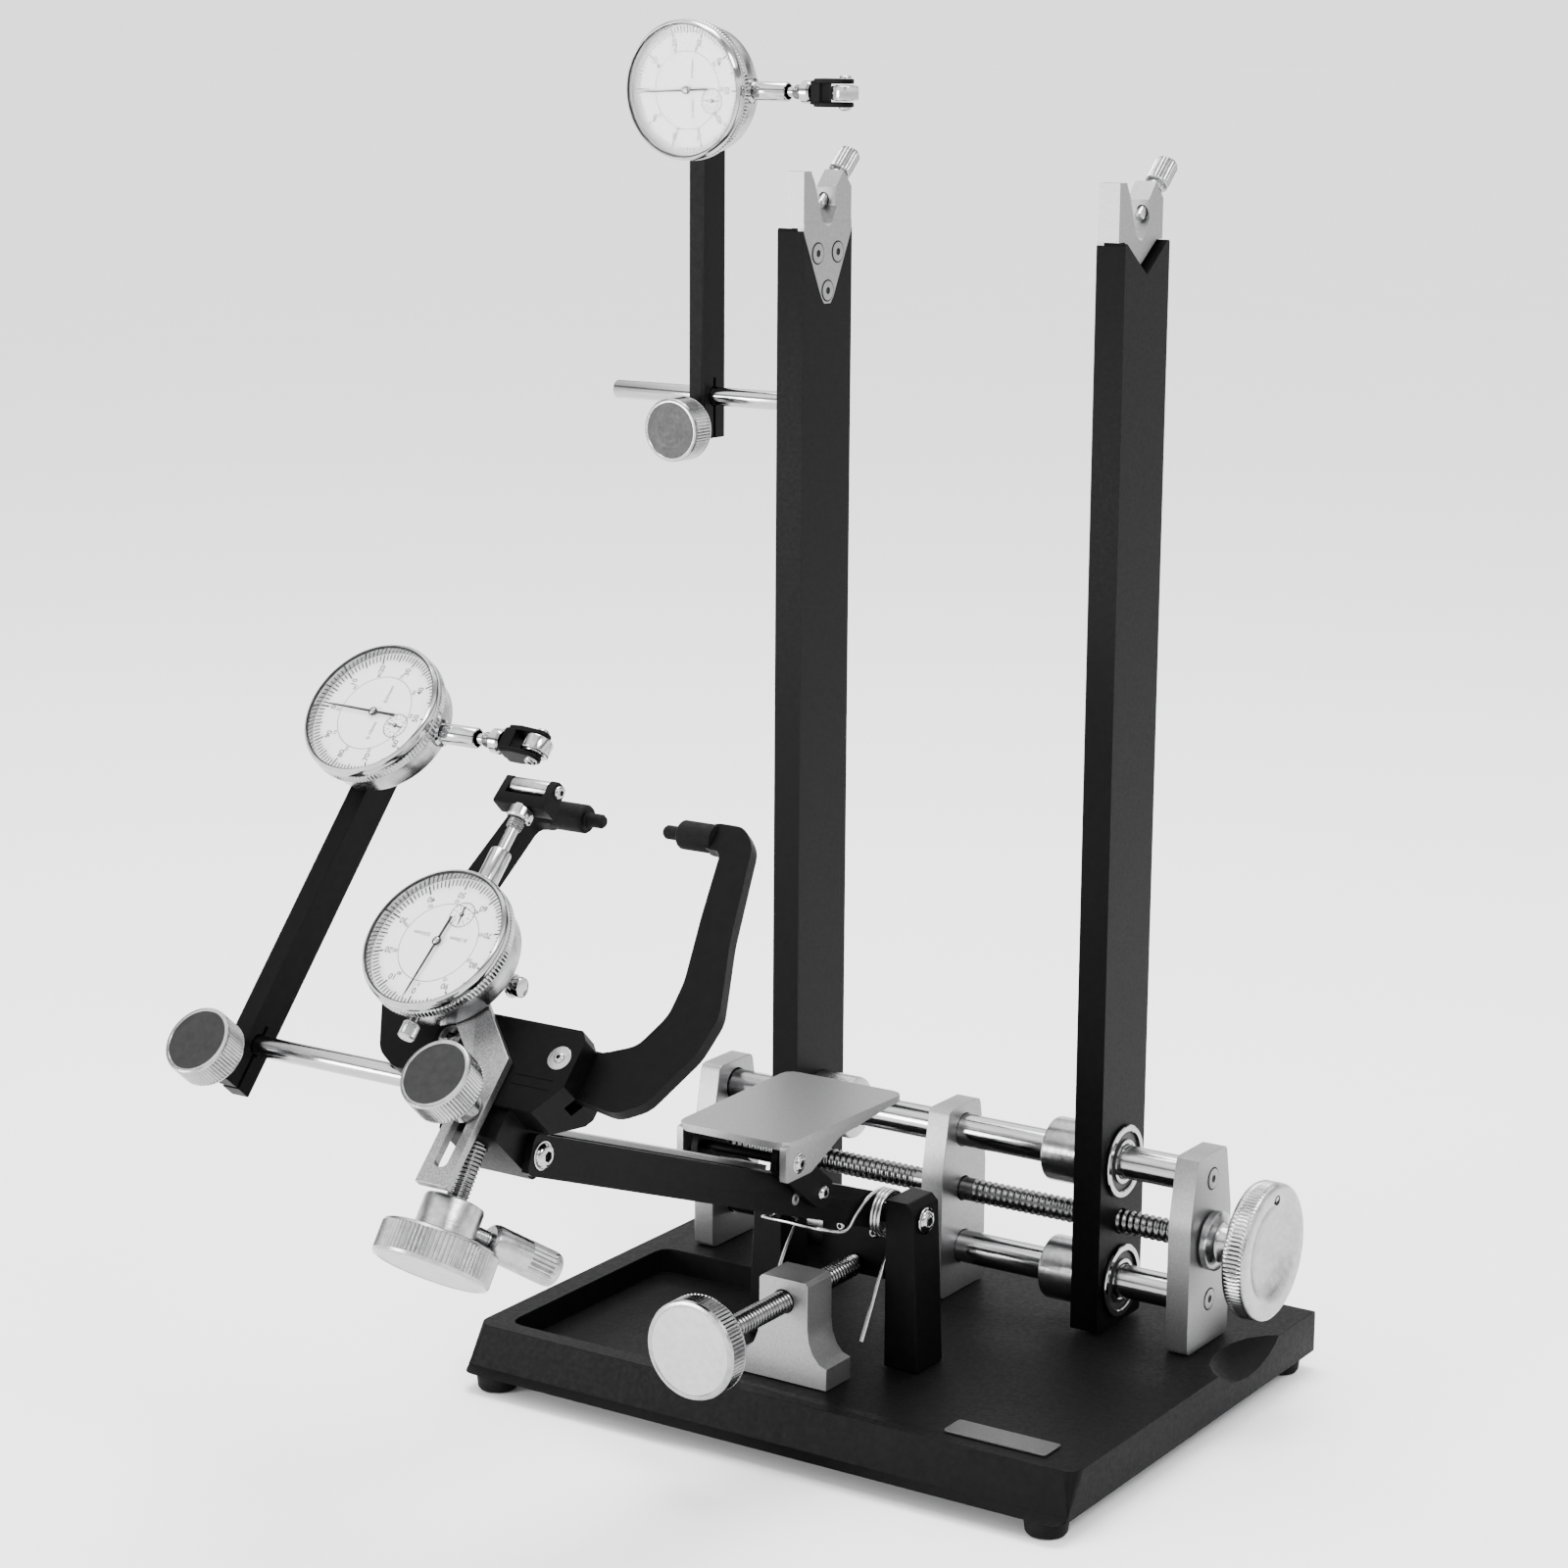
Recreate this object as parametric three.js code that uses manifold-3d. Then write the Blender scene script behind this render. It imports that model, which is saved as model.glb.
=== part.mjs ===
// Wheel truing stand with three dial indicators, millimetres, +Z up.
// The stand is laid out from one datum: x along the guide rods from the centre block,
// y = 0 on the guide rods with the open side towards -y, z = 0 on top of the deck.
// The whole group is moved by ORIGIN at the end so that it stands on z = 0, centred in x and y.
import * as THREE from 'three';
import { mergeVertices } from 'three/addons/utils/BufferGeometryUtils.js';
import Module from 'manifold-3d';
const wasm = await Module();
wasm.setup();

// ---------- driving dimensions ----------
const ORIGIN = [12, 155, 26];            // datum to object origin
const GAP = 0.3;                         // running gap between neighbouring pieces
const DECK = { halfX: 142.5, front: -160.8, top: -149.5, back: 63, thick: 18 };
const FOOT = { x: 131, front: -150, back: 52, r: 9, h: 8 };
const ROD = { r: 7, upper: 71.7, lower: 19.7, half: 120 };
const SCREW = { r: 5.2, z: 45.6, left: -119, right: 139 };
const BLOCK = { t: 10.2, half: 18.25, topHalf: 12.8, shoulder: 55, top: 83, x: 117.3 };
const UPRIGHT = { inner: 68.2, t: 12.8, half: 18.7, bottom: 1.3, top: 450 };
const BEARING = { r: 13.6, flange: 15.4, reach: 19 };
const POST = { inner: 25, outer: 40, front: -96.5, back: -76.7, top: 71 };
const ARM = { y: -88.6, z: 62.7, angle: 20.4, length: 238.4, half: 16, wall: 3, height: 15 };
const HEAD = { y: -304, z: 174.6, tilt: 46, half: 31, thick: 24 };
const HINGE = { y: -26.1, z: -14.2 };    // head hinge in the head frame
const CALIPER = { pivot: 23.5, t: 5, tipY: 101, tipX: 13.6 };
const BAR = { w: 8, d: 15 };
const DIAL = { r: 29, rim: 8, caseR: 26.5, depth: 18.5, stem: 44.5, roller: 71.8 };
const ROD1 = { y: 0, z: 376, left: -176 };
const ROD2 = { y: -305.8, z: 161.9, left: -129.5 };
const BAR2_TILT = 48.8;

// ---------- helpers ----------
const rad = (a) => (a * Math.PI) / 180;
function toManifold(geometry) {
  const g = geometry.clone();
  g.deleteAttribute('normal');
  g.deleteAttribute('uv');
  const m = mergeVertices(g, 1e-4);
  return new wasm.Manifold(new wasm.Mesh({
    numProp: 3,
    vertProperties: new Float32Array(m.attributes.position.array),
    triVerts: new Uint32Array(m.index.array),
  }));
}
function toGeometry(manifold) {
  const mesh = manifold.getMesh();
  const g = new THREE.BufferGeometry();
  g.setAttribute('position', new THREE.BufferAttribute(new Float32Array(mesh.vertProperties), 3));
  g.setIndex(new THREE.BufferAttribute(new Uint32Array(mesh.triVerts), 1));
  const flat = g.toNonIndexed();
  flat.computeVertexNormals();
  return flat;
}
const box = (x0, x1, y0, y1, z0, z1) =>
  toManifold(new THREE.BoxGeometry(x1 - x0, y1 - y0, z1 - z0)
    .translate((x0 + x1) / 2, (y0 + y1) / 2, (z0 + z1) / 2));
// solid of revolution about an axis through a point; profile is [radius, along] pairs
function turned(profile, axis, at, segments = 18) {
  const g = new THREE.LatheGeometry(profile.map(([r, a]) => new THREE.Vector2(r, a)), segments);
  if (axis === 'x') g.rotateZ(-Math.PI / 2);
  if (axis === 'z') g.rotateX(Math.PI / 2);
  return toManifold(g.translate(at[0], at[1], at[2]));
}
const rod = (r, from, to, axis, at, segments = 16) =>
  turned([[0, from], [r, from], [r, to], [0, to]], axis, at, segments);
const tube = (r0, r1, from, to, axis, at, segments = 18) =>
  turned([[r0, from], [r1, from], [r1, to], [r0, to], [r0, from]], axis, at, segments);
// flat plate from an outline; plane 'xy' rises along z, 'yz' along x, 'xz' along y
function plate(outline, plane, from, to, holes = []) {
  const shape = new THREE.Shape(outline.map(([a, b]) => new THREE.Vector2(a, b)));
  for (const [a, b, r] of holes) {
    const h = new THREE.Path();
    h.absarc(a, b, r, 0, Math.PI * 2, true);
    shape.holes.push(h);
  }
  const g = new THREE.ExtrudeGeometry(shape, { depth: to - from, bevelEnabled: false, curveSegments: 8 });
  g.translate(0, 0, from);
  if (plane === 'yz') g.applyMatrix4(new THREE.Matrix4().set(0, 0, 1, 0, 1, 0, 0, 0, 0, 1, 0, 0, 0, 0, 0, 1));
  if (plane === 'xz') g.applyMatrix4(new THREE.Matrix4().set(1, 0, 0, 0, 0, 0, -1, 0, 0, 1, 0, 0, 0, 0, 0, 1));
  return toManifold(g);
}
// rounded outline: corners replaced by short arcs of radius r
function rounded(points, r, steps = 3) {
  const out = [];
  points.forEach((p, i) => {
    const a = points[(i + points.length - 1) % points.length], b = points[(i + 1) % points.length];
    const P = new THREE.Vector2(...p), A = new THREE.Vector2(...a).sub(P), B = new THREE.Vector2(...b).sub(P);
    const k = Math.min(r, A.length() * 0.45, B.length() * 0.45);
    const s = P.clone().add(A.setLength(k)), e = P.clone().add(B.setLength(k));
    for (let j = 0; j <= steps; j++) {
      const t = j / steps;
      out.push([(1 - t) ** 2 * s.x + 2 * t * (1 - t) * P.x + t * t * e.x,
        (1 - t) ** 2 * s.y + 2 * t * (1 - t) * P.y + t * t * e.y]);
    }
  });
  return out;
}
const join = (...parts) => parts.reduce((a, b) => a.add(b));
const cut = (body, ...tools) => tools.reduce((a, b) => a.subtract(b), body);
// frame matrix from an origin and the directions of local x, y, z
const frameOf = (o, x, y, z) => new THREE.Matrix4().makeBasis(
  new THREE.Vector3(...x), new THREE.Vector3(...y), new THREE.Vector3(...z)).setPosition(...o);
const tiltX = (o, deg) => frameOf(o, [1, 0, 0], [0, Math.cos(rad(deg)), Math.sin(rad(deg))],
  [0, -Math.sin(rad(deg)), Math.cos(rad(deg))]);

const group = new THREE.Group();
group.name = 'wheel_truing_stand';
const PAINT = {
  black: { color: 0x1c1c1e, roughness: 0.5, metalness: 0.2 },
  silver: { color: 0xc9cacc, roughness: 0.35, metalness: 0.85 },
  steel: { color: 0xb4b7ba, roughness: 0.22, metalness: 1.0 },
  rubber: { color: 0x141414, roughness: 0.9, metalness: 0.0 },
  dark: { color: 0x2b2b2d, roughness: 0.45, metalness: 0.4 },
  face: { color: 0xe8e8e6, roughness: 0.4, metalness: 0.3 },
};
const shift = new THREE.Matrix4().makeTranslation(...ORIGIN);
function add(name, manifold, paint, frame = null) {
  const geometry = toGeometry(manifold);
  if (frame) geometry.applyMatrix4(frame);
  geometry.applyMatrix4(shift);
  const mesh = new THREE.Mesh(geometry, new THREE.MeshStandardMaterial(PAINT[paint]));
  mesh.name = name;
  group.add(mesh);
}
const mirrorX = (m) => m.mirror([1, 0, 0]);

// ---------- base ----------
const D = DECK;
const deckSide = [[D.front, -D.thick], [D.top, 0], [D.back - 2, 0], [D.back, -2], [D.back, -D.thick]];
const tray = (() => {
  const wall = (x, y, z) => [[-133 + x, -143 + y], [-47 - x, -143 + y], [-47 - x, -27 - y], [-133 + x, -27 - y]];
  const g = plate(rounded(wall(1.5, 1.5), 7), 'xy', -11, 1);
  return g;
})();
const scallop = toManifold(new THREE.SphereGeometry(1, 20, 12).scale(24, 35, 20).translate(150, -1.5, 10));
add('base_plate', cut(plate(deckSide, 'yz', -D.halfX, D.halfX), tray, scallop), 'black');
for (const [name, sx, y] of [['foot_front_left', -1, FOOT.front], ['foot_front_right', 1, FOOT.front],
  ['foot_rear_left', -1, FOOT.back], ['foot_rear_right', 1, FOOT.back]]) {
  const z0 = -D.thick - GAP, z1 = -D.thick - FOOT.h;
  add(name, turned([[0, z1], [FOOT.r - 2, z1], [FOOT.r - 0.8, z1 + 1], [FOOT.r, z0], [0, z0]], 'z',
    [sx * FOOT.x, y, 0], 16), 'rubber');
}
add('name_plate', plate(rounded([[80, -142], [125.5, -142], [125.5, -129], [80, -129]], 1.5), 'xy', GAP, 1.1), 'silver');

// ---------- blocks, guide rods, screw ----------
const blockSide = rounded([[-BLOCK.half, GAP], [BLOCK.half, GAP], [BLOCK.half, BLOCK.shoulder],
  [BLOCK.topHalf, BLOCK.top], [-BLOCK.topHalf, BLOCK.top], [-BLOCK.half, BLOCK.shoulder]], 2.5, 2);
const blockAt = (x) => plate(blockSide, 'yz', x - BLOCK.t / 2, x + BLOCK.t / 2);
const rodHole = (z, from, to) => rod(ROD.r + GAP, from, to, 'x', [0, 0, z], 20);
for (const [name, x] of [['block_left', -BLOCK.x], ['block_centre', 0], ['block_right', BLOCK.x]]) {
  const ends = x === 0 ? [-10, 10] : [-ROD.half - GAP, ROD.half + GAP];
  const screwEnds = x < 0 ? [SCREW.left - GAP, 0] : [-10, 200];
  add(name, cut(blockAt(x), rodHole(ROD.upper, ...ends), rodHole(ROD.lower, ...ends),
    rod(SCREW.r + GAP, ...screwEnds, 'x', [0, 0, SCREW.z], 20)), 'silver');
}
add('guide_rod_upper', rod(ROD.r, -ROD.half, ROD.half, 'x', [0, 0, ROD.upper]), 'steel');
add('guide_rod_lower', rod(ROD.r, -ROD.half, ROD.half, 'x', [0, 0, ROD.lower]), 'steel');
add('lead_screw', rod(SCREW.r, SCREW.left, SCREW.right, 'x', [0, 0, SCREW.z]), 'steel');
add('handwheel', turned([[0, 139.4], [5.5, 139.4], [5.5, 122.9], [12.4, 122.9], [12.4, 126.5], [7.8, 129], [7.8, 136],
  [12, 141], [27, 141], [28.5, 142.6], [28.5, 150], [27, 151.6], [20, 151.6], [14, 147.5], [0, 146]], 'x',
[0, 0, SCREW.z], 26), 'silver');

// ---------- uprights, dropouts, bearings, thumbscrews ----------
const U = UPRIGHT;
const dropNotch = [[-13, 480], [-12.3, 472.2], [-9.5, 467.5], [-6.5, 459], [-4.2, 452.6], [-1.5, 450.5], [1, 450],
  [3, 451.2], [7, 458.3], [5.8, 465.8], [12.5, 473.2], [19.3, 480]];
const SCREW_TILT = 48, screwFoot = [3.8, 458.4], screwSeat = 15.8;
function dropoutShape(grow) {
  const g = grow, w = U.half - 0.4, a = rad(SCREW_TILT);
  const seat = [screwFoot[0] + screwSeat * Math.sin(a), screwFoot[1] + screwSeat * Math.cos(a)];
  const slope = (y) => seat[1] - (y - seat[0]) * Math.tan(a);
  const top = g > 0 ? [[w + g, 480], [-w - g, 480]]
    : [[w, slope(w)], [seat[0] - (473 - seat[1]) / Math.tan(a), 473], [-w, 473]];
  const drop = g > 0 ? 3.2 : 0;
  const vee = [[-w - g, U.top - g], [-13.5 - g - drop, U.top - g], [0, 440.5 - 1.4 * g - drop],
    [13.5 + g + drop, U.top - g], [w + g, U.top - g], ...top];
  const tail = [[-w - g, 452], [-w - g, 448], [-4.7 - g, 421], [-2.4, 418.2 - g], [2.4, 418.2 - g], [4.7 + g, 421],
    [w + g, 448], [w + g, 452]];
  // block across the whole thickness, thin tail let into the inner face
  return join(plate(vee, 'yz', U.inner + 0.2 - g, U.inner + U.t - 3.2 + g * 12),
    plate(tail, 'yz', U.inner - g * 2, U.inner + 3 + g));
}
const screwAxis = new THREE.Matrix4().makeRotationX(-rad(SCREW_TILT)).setPosition(0, ...screwFoot);
const thumb = (grow) => {
  const s = toManifold(new THREE.LatheGeometry((grow > 0
    ? [[0, -1], [2.5, -1], [2.5, 40], [0, 40]]
    : [[0, 0], [2.1, 0], [2.1, 16.2], [3.6, 16.2], [3.6, 18.4], [4.8, 19.2], [4.8, 30], [4.2, 31], [0, 31]])
    .map(([r, a]) => new THREE.Vector2(r, a)), 12).rotateX(Math.PI / 2));
  return s;
};
for (const [side, sx] of [['right', 1], ['left', -1]]) {
  const flip = (m) => (sx > 0 ? m : mirrorX(m));
  const column = rounded([[-U.half, U.bottom], [U.half, U.bottom], [U.half, U.top], [-U.half, U.top]], 1.5, 2);
  let body = cut(plate(column, 'yz', U.inner, U.inner + U.t), dropoutShape(GAP),
    rod(BEARING.r + GAP, 60, 90, 'x', [0, 0, ROD.upper], 20), rod(BEARING.r + GAP, 60, 90, 'x', [0, 0, ROD.lower], 20),
    rod(SCREW.r + GAP, 60, 90, 'x', [0, 0, SCREW.z], 20));
  if (side === 'left') body = cut(body, rod(4 + GAP, 72.5, 90, 'x', [0, ROD1.y, ROD1.z], 16));
  add(`upright_${side}`, flip(body), 'black');
  const xm = U.inner + U.t / 2;
  const place = (m) => toManifold(toGeometry(m).applyMatrix4(
    new THREE.Matrix4().makeTranslation(xm, 0, 0).multiply(screwAxis)));
  const drop = cut(dropoutShape(0), plate(dropNotch, 'yz', 60, 90), place(thumb(1)));
  add(`dropout_${side}`, flip(drop), 'silver');
  add(`thumbscrew_${side}`, flip(place(thumb(0))), 'steel');
  for (const [level, z] of [['upper', ROD.upper], ['lower', ROD.lower]]) {
    const x0 = U.inner - BEARING.reach, x1 = U.inner + U.t + GAP;
    add(`bearing_${side}_${level}`, flip(turned([[ROD.r + GAP, x0], [BEARING.r - 1, x0], [BEARING.r, x0 + 1],
      [BEARING.r, x1], [BEARING.flange, x1], [BEARING.flange, x1 + 1.4], [ROD.r + GAP, x1 + 1.4],
      [ROD.r + GAP, x0]], 'x', [0, 0, z], 20)), 'steel');
  }
}

// ---------- posts, pivot shaft, front screw ----------
const postSection = [[POST.inner, GAP], [POST.outer + 1, GAP], [POST.outer - 2, POST.top - 3],
  [POST.outer - 5, POST.top], [POST.inner, POST.top]];
const post = cut(plate(postSection, 'xz', -POST.back, -POST.front), rod(4 + GAP, 20, 33, 'x', [0, ARM.y, ARM.z], 16));
add('post_right', post, 'black');
add('post_left', mirrorX(post), 'black');
add('pivot_shaft', rod(4, -32.5, 32.5, 'x', [0, ARM.y, ARM.z], 16), 'steel');
const flare = (s) => [0, 1, 2, 3, 4].map((i) => {
  const a = rad(90 * (i / 4));
  return [s * (20.7 - 9.2 * Math.sin(a)), 9.5 + 15 * (1 - Math.cos(a))];
});
const screwBlock = [[-20.7, GAP], [20.7, GAP], ...flare(1), [11.5, 42], [10, 43.5], [-10, 43.5], [-11.5, 42],
  ...flare(-1).reverse()];
add('screw_block', cut(plate(screwBlock, 'xz', 115, 133), rod(4.7 + GAP, -140, -110, 'y', [0, 0, 34], 20)), 'silver');
add('front_screw', turned([[0, -199], [18.6, -199], [20, -197.6], [20, -189.4], [18.6, -188], [8, -188], [8, -181],
  [4.7, -181], [4.7, -80.6], [3.6, -79.6], [0, -79.6]], 'y', [0, 0, 34], 24), 'silver');

// ---------- swinging arm: frame runs along the arm, y forward from the pivot, z up ----------
const armFrame = frameOf([0, ARM.y, ARM.z], [-1, 0, 0],
  [0, -Math.cos(rad(ARM.angle)), Math.sin(rad(ARM.angle))], [0, Math.sin(rad(ARM.angle)), Math.cos(rad(ARM.angle))]);
const h = ARM.height / 2;
const armSide = rounded([[-13, -h], [ARM.length + 7, -h], [ARM.length + 7, h], [-13, h]], 3, 2);
const wall = plate(armSide, 'yz', ARM.half - ARM.wall, ARM.half, [[0, 0, 4 + GAP]]);
const pin = rod(3, ARM.half - ARM.wall - 6, ARM.half - 1, 'x', [0, ARM.length, 0], 14);
const boss = rod(2.2, ARM.half - 1, ARM.half + 5, 'x', [0, 52, 3.6], 12);
// heel plate below the pivot takes the push of the front screw; it is drawn upright and turned with the arm
const heel = toManifold(toGeometry(join(box(-ARM.half, ARM.half, -79, -75, 30, 58),
  box(-ARM.half, -ARM.half + ARM.wall, -81, -75, 50, 65), box(ARM.half - ARM.wall, ARM.half, -81, -75, 50, 65)))
  .applyMatrix4(armFrame.clone().invert()));
add('arm_channel', join(heel, wall, mirrorX(wall), box(-ARM.half + 1, ARM.half - 1, 14, ARM.length - 20, h - 2.4, h),
  pin, mirrorX(pin), boss, mirrorX(boss)), 'dark', armFrame);
const strip = join(box(-7, 7, 84, 226, h + GAP, h + 2.3), box(-6, 6, 74, 90, h + 0.5, h + 2.6));
add('pull_strip', strip, 'silver', armFrame);
// two side links in one yoke carry the lever pin
const linkSide = rounded([[45, -2], [52, -3], [90, 8.5], [90, 18.5], [82, 19.5], [45, 9]], 3, 2);
const linkWall = plate(linkSide, 'yz', ARM.half + 1, ARM.half + 4, [[52, 3.6, 2.2 + GAP]]);
add('lever_yoke', join(linkWall, mirrorX(linkWall), rod(2, -ARM.half - 2, ARM.half + 2, 'x', [0, 83, 13.4], 12)),
  'dark', armFrame);
// thumb lever lies level: its own frame is parallel to the datum at the lever pin
const pinY = ARM.y - 83 * Math.cos(rad(ARM.angle)) + 13.4 * Math.sin(rad(ARM.angle));
const pinZ = ARM.z + 83 * Math.sin(rad(ARM.angle)) + 13.4 * Math.cos(rad(ARM.angle));
const leverTop = rounded([[-26, -9], [26, -9], [28, 74], [-28, 74]], 6, 3);
const cheek = plate(rounded([[-9, -6], [9, -6], [30, 3], [74, 6.2], [74, 8.5], [-9, 8.5]], 1.5, 2), 'yz', 22.5, 25.5);
const ear = rod(2.2, ARM.half + 4.5, 23, 'x', [0, 0, 0], 12);
add('thumb_lever', join(plate(leverTop, 'xy', 7, 10), cheek, mirrorX(cheek), ear, mirrorX(ear)), 'silver',
  frameOf([0, pinY, pinZ], [1, 0, 0], [0, 1, 0], [0, 0, 1]));

// ---------- torsion spring: two coils on the pivot shaft, loop under the arm, legs on the deck ----------
const coilR = 9.2, coilTurns = 3.33, coilStart = -30;
const halfSpring = (side) => {
  const pts = [[18.2, -107, 12], [18.2, -94, 34.5]].map(([x, y, z]) => new THREE.Vector3(side * x, y, z));
  const n = 27;
  for (let i = 0; i <= n; i++) {
    const a = rad(coilStart + 360 * coilTurns * (i / n));
    pts.push(new THREE.Vector3(side * (18.2 + 5.4 * (i / n)), ARM.y + coilR * Math.cos(a), ARM.z + coilR * Math.sin(a)));
  }
  for (const [x, y, z] of [[23.4, -103, 70.5], [22.5, -114, 67.5], [19.5, -121.5, 66], [12, -125, 65.6]]) {
    pts.push(new THREE.Vector3(side * x, y, z));
  }
  return pts;
};
const coil = [...halfSpring(1), new THREE.Vector3(0, -126, 65.5), ...halfSpring(-1).reverse()];
const wireRing = new THREE.Shape(Array.from({ length: 5 }, (_, i) =>
  new THREE.Vector2(0.85 * Math.cos(rad(72 * i)), 0.85 * Math.sin(rad(72 * i)))));
add('torsion_spring', toManifold(new THREE.ExtrudeGeometry(wireRing, {
  steps: 100, bevelEnabled: false, extrudePath: new THREE.CatmullRomCurve3(coil) })), 'steel');

// ---------- head, calipers, adjusting knob ----------
const headFrame = tiltX([0, HEAD.y, HEAD.z], HEAD.tilt);
const H = HEAD.half, T = HEAD.thick / 2;
const headOutline = [[-H, -10], [-27, -16], [-23, -22], [23, -22], [27, -16], [H, -10], [H, 8.5], [28, 12],
  [-28, 12], [-H, 8.5]];
const headSide = [[14, T], [14, -T], [-13, -T], [-22.5, -3.5], [-22.5, T]];
const headBlock = plate(headOutline, 'xy', -T, T).intersect(plate(headSide, 'yz', -H - 1, H + 1));
const knuckle = plate(rounded([[-34, 10], [-34, -20], [-28, -22.5], [-20, -20], [-12, -10], [-12, 10]], 2, 2), 'yz', -12.5, 12.5);
const slot = box(12, 40, -14, 20, -2.5 - GAP, 2.5 + GAP);
const kAxis = frameOf([0, -35.2, 1.6], [1, 0, 0], [0, 0.9886, 0.1504], [0, -0.1504, 0.9886]);
const inK = (m) => toManifold(toGeometry(m).applyMatrix4(kAxis));
const hingeHole = rod(3 + GAP, 6, 14, 'x', [0, HINGE.y, HINGE.z], 14);
const rodSocket = rod(4 + GAP, -40, -21, 'x', [0, -10.4, -7.5], 16);
const stud = (x, y, r, z0, z1) => rod(r, z0, z1, 'z', [x, y, 0], 16);
const pivotPins = join(stud(CALIPER.pivot, 0, 3.5, -4, 4), stud(-CALIPER.pivot, 0, 3.5, -4, 4));
add('head_body', join(cut(join(headBlock, knuckle), slot, mirrorX(slot), hingeHole, mirrorX(hingeHole), rodSocket,
  inK(rod(4 + GAP, -1, 15, 'y', [0, 0, 0], 16)), stud(0, -27, 2.7, 7.5, 12)), pivotPins), 'black', headFrame);
const armOutline = rounded([[22, 9], [32, 9], [45, 14.5], [51.5, 28], [51.5, 42], [46.2, 68], [41.6, 95.4],
  [33, 95.4], [33, 106.4], [46.7, 106.4], [53.4, 99.5], [62, 61], [71.6, 31], [69.5, 16], [58.5, -6.5],
  [48.5, -12.2], [30, -9.4], [22, -9]], 3.5, 3);
const caliper = cut(join(plate(armOutline, 'xy', -CALIPER.t / 2, CALIPER.t / 2),
  stud(CALIPER.pivot, 0, 9.2, -CALIPER.t / 2, CALIPER.t / 2),
  turned([[0, 36], [5.2, 36], [5.2, 21.8], [4.6, 21], [2.5, 21], [2.5, 14.6], [1.6, CALIPER.tipX], [0, CALIPER.tipX]]
    .reverse(), 'x', [0, CALIPER.tipY, 0], 16)), stud(CALIPER.pivot, 0, 3.5 + GAP, -5, 5));
add('caliper_right', caliper, 'black', headFrame);
add('caliper_left', mirrorX(caliper), 'black', headFrame);
const knobFrame = headFrame.clone().multiply(kAxis);
const handle = turned([[0, 9], [3, 9], [3, 17.5], [5.6, 17.5], [6.5, 18.6], [6.5, 45], [5.4, 46.5], [0, 46.5]], 'z',
  [0, 0, 0], 18);
const handleAt = toManifold(toGeometry(handle).applyMatrix4(new THREE.Matrix4().makeRotationY(rad(155))
  .setPosition(0, -27, 0)));
add('head_knob', join(turned([[0, -46.5], [20.6, -46.5], [22, -45], [22, -34.5], [20.6, -33], [11, -33], [11, -21],
  [9.5, -19.5], [4, -19.5], [4, 13], [0, 13]], 'y', [0, 0, 0], 24), handleAt), 'silver', knobFrame);
const bracketOutline = [[-6.75, -57], [6.75, -57], [6.75, -5.4], [-20, 21.5], [-33, 38], [-44, 28], [-30, 12.3],
  [-6.75, -11]];
const bracketSlot = plate(rounded([[-2.7, -50], [2.7, -50], [2.7, -20], [-2.7, -20]], 2.6, 4), 'xy', 0, 40);
add('bracket_3', cut(plate(bracketOutline, 'xy', T + GAP, T + 3.8), bracketSlot), 'silver', headFrame);
const knob = (z0, z1, stem, boltR, boltFrom) => turned([[0, boltFrom], [boltR, boltFrom], [boltR, stem], [6, stem],
  [6, z0 - 2], [8, z0], [12.4, z0], [13.5, z0 + 1.2], [13.5, z1 - 1.2], [12.4, z1], [0, z1 - 0.5]], 'z', [0, 0, 0], 20);
add('knob_3', knob(28.5, 40.5, T + 3.8 + GAP, 2.4, 8), 'silver',
  headFrame.clone().multiply(new THREE.Matrix4().makeTranslation(0, -27, 0)));

// ---------- carrier rods and bars ----------
add('rod_1', turned([[0, ROD1.left], [3.2, ROD1.left], [4, ROD1.left + 1], [4, -73], [0, -73]], 'x',
  [0, ROD1.y, ROD1.z], 16), 'steel');
add('rod_2', turned([[0, ROD2.left], [4, ROD2.left], [4, -21.5], [0, -21.5]], 'x', [0, ROD2.y, ROD2.z], 16), 'steel');
// bar frame: origin on the rod, y along the bar, z towards the dial face
function bar(bottom, top) {
  const w = BAR.w / 2, d = BAR.d / 2;
  const slit = join(box(-w - 1, w + 1, bottom - 1, 8, -0.8, 0.8), rod(4 + GAP, -w - 1, w + 1, 'x', [0, 0, 0], 16));
  return cut(box(-w, w, bottom, top, -d, d), slit, rod(2.5 + GAP, -d - 1, d + 1, 'z', [0, -12.5, 0], 12));
}
const clampKnob = knob(15.5, 27.5, BAR.d / 2 + GAP, 2.5, -BAR.d / 2);
const bar1 = frameOf([-129, ROD1.y, ROD1.z], [1, 0, 0], [0, 0, 1], [0, -1, 0]);
const bar2 = tiltX([-124.1, ROD2.y, ROD2.z], BAR2_TILT);
const lower = new THREE.Matrix4().makeTranslation(0, -12.5, 0);
add('bar_1', bar(-18, 137), 'black', bar1);
add('knob_1', clampKnob, 'silver', bar1.clone().multiply(lower));
add('bar_2', bar(-18, 137), 'black', bar2);
add('knob_2', clampKnob, 'silver', bar2.clone().multiply(lower));

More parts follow.
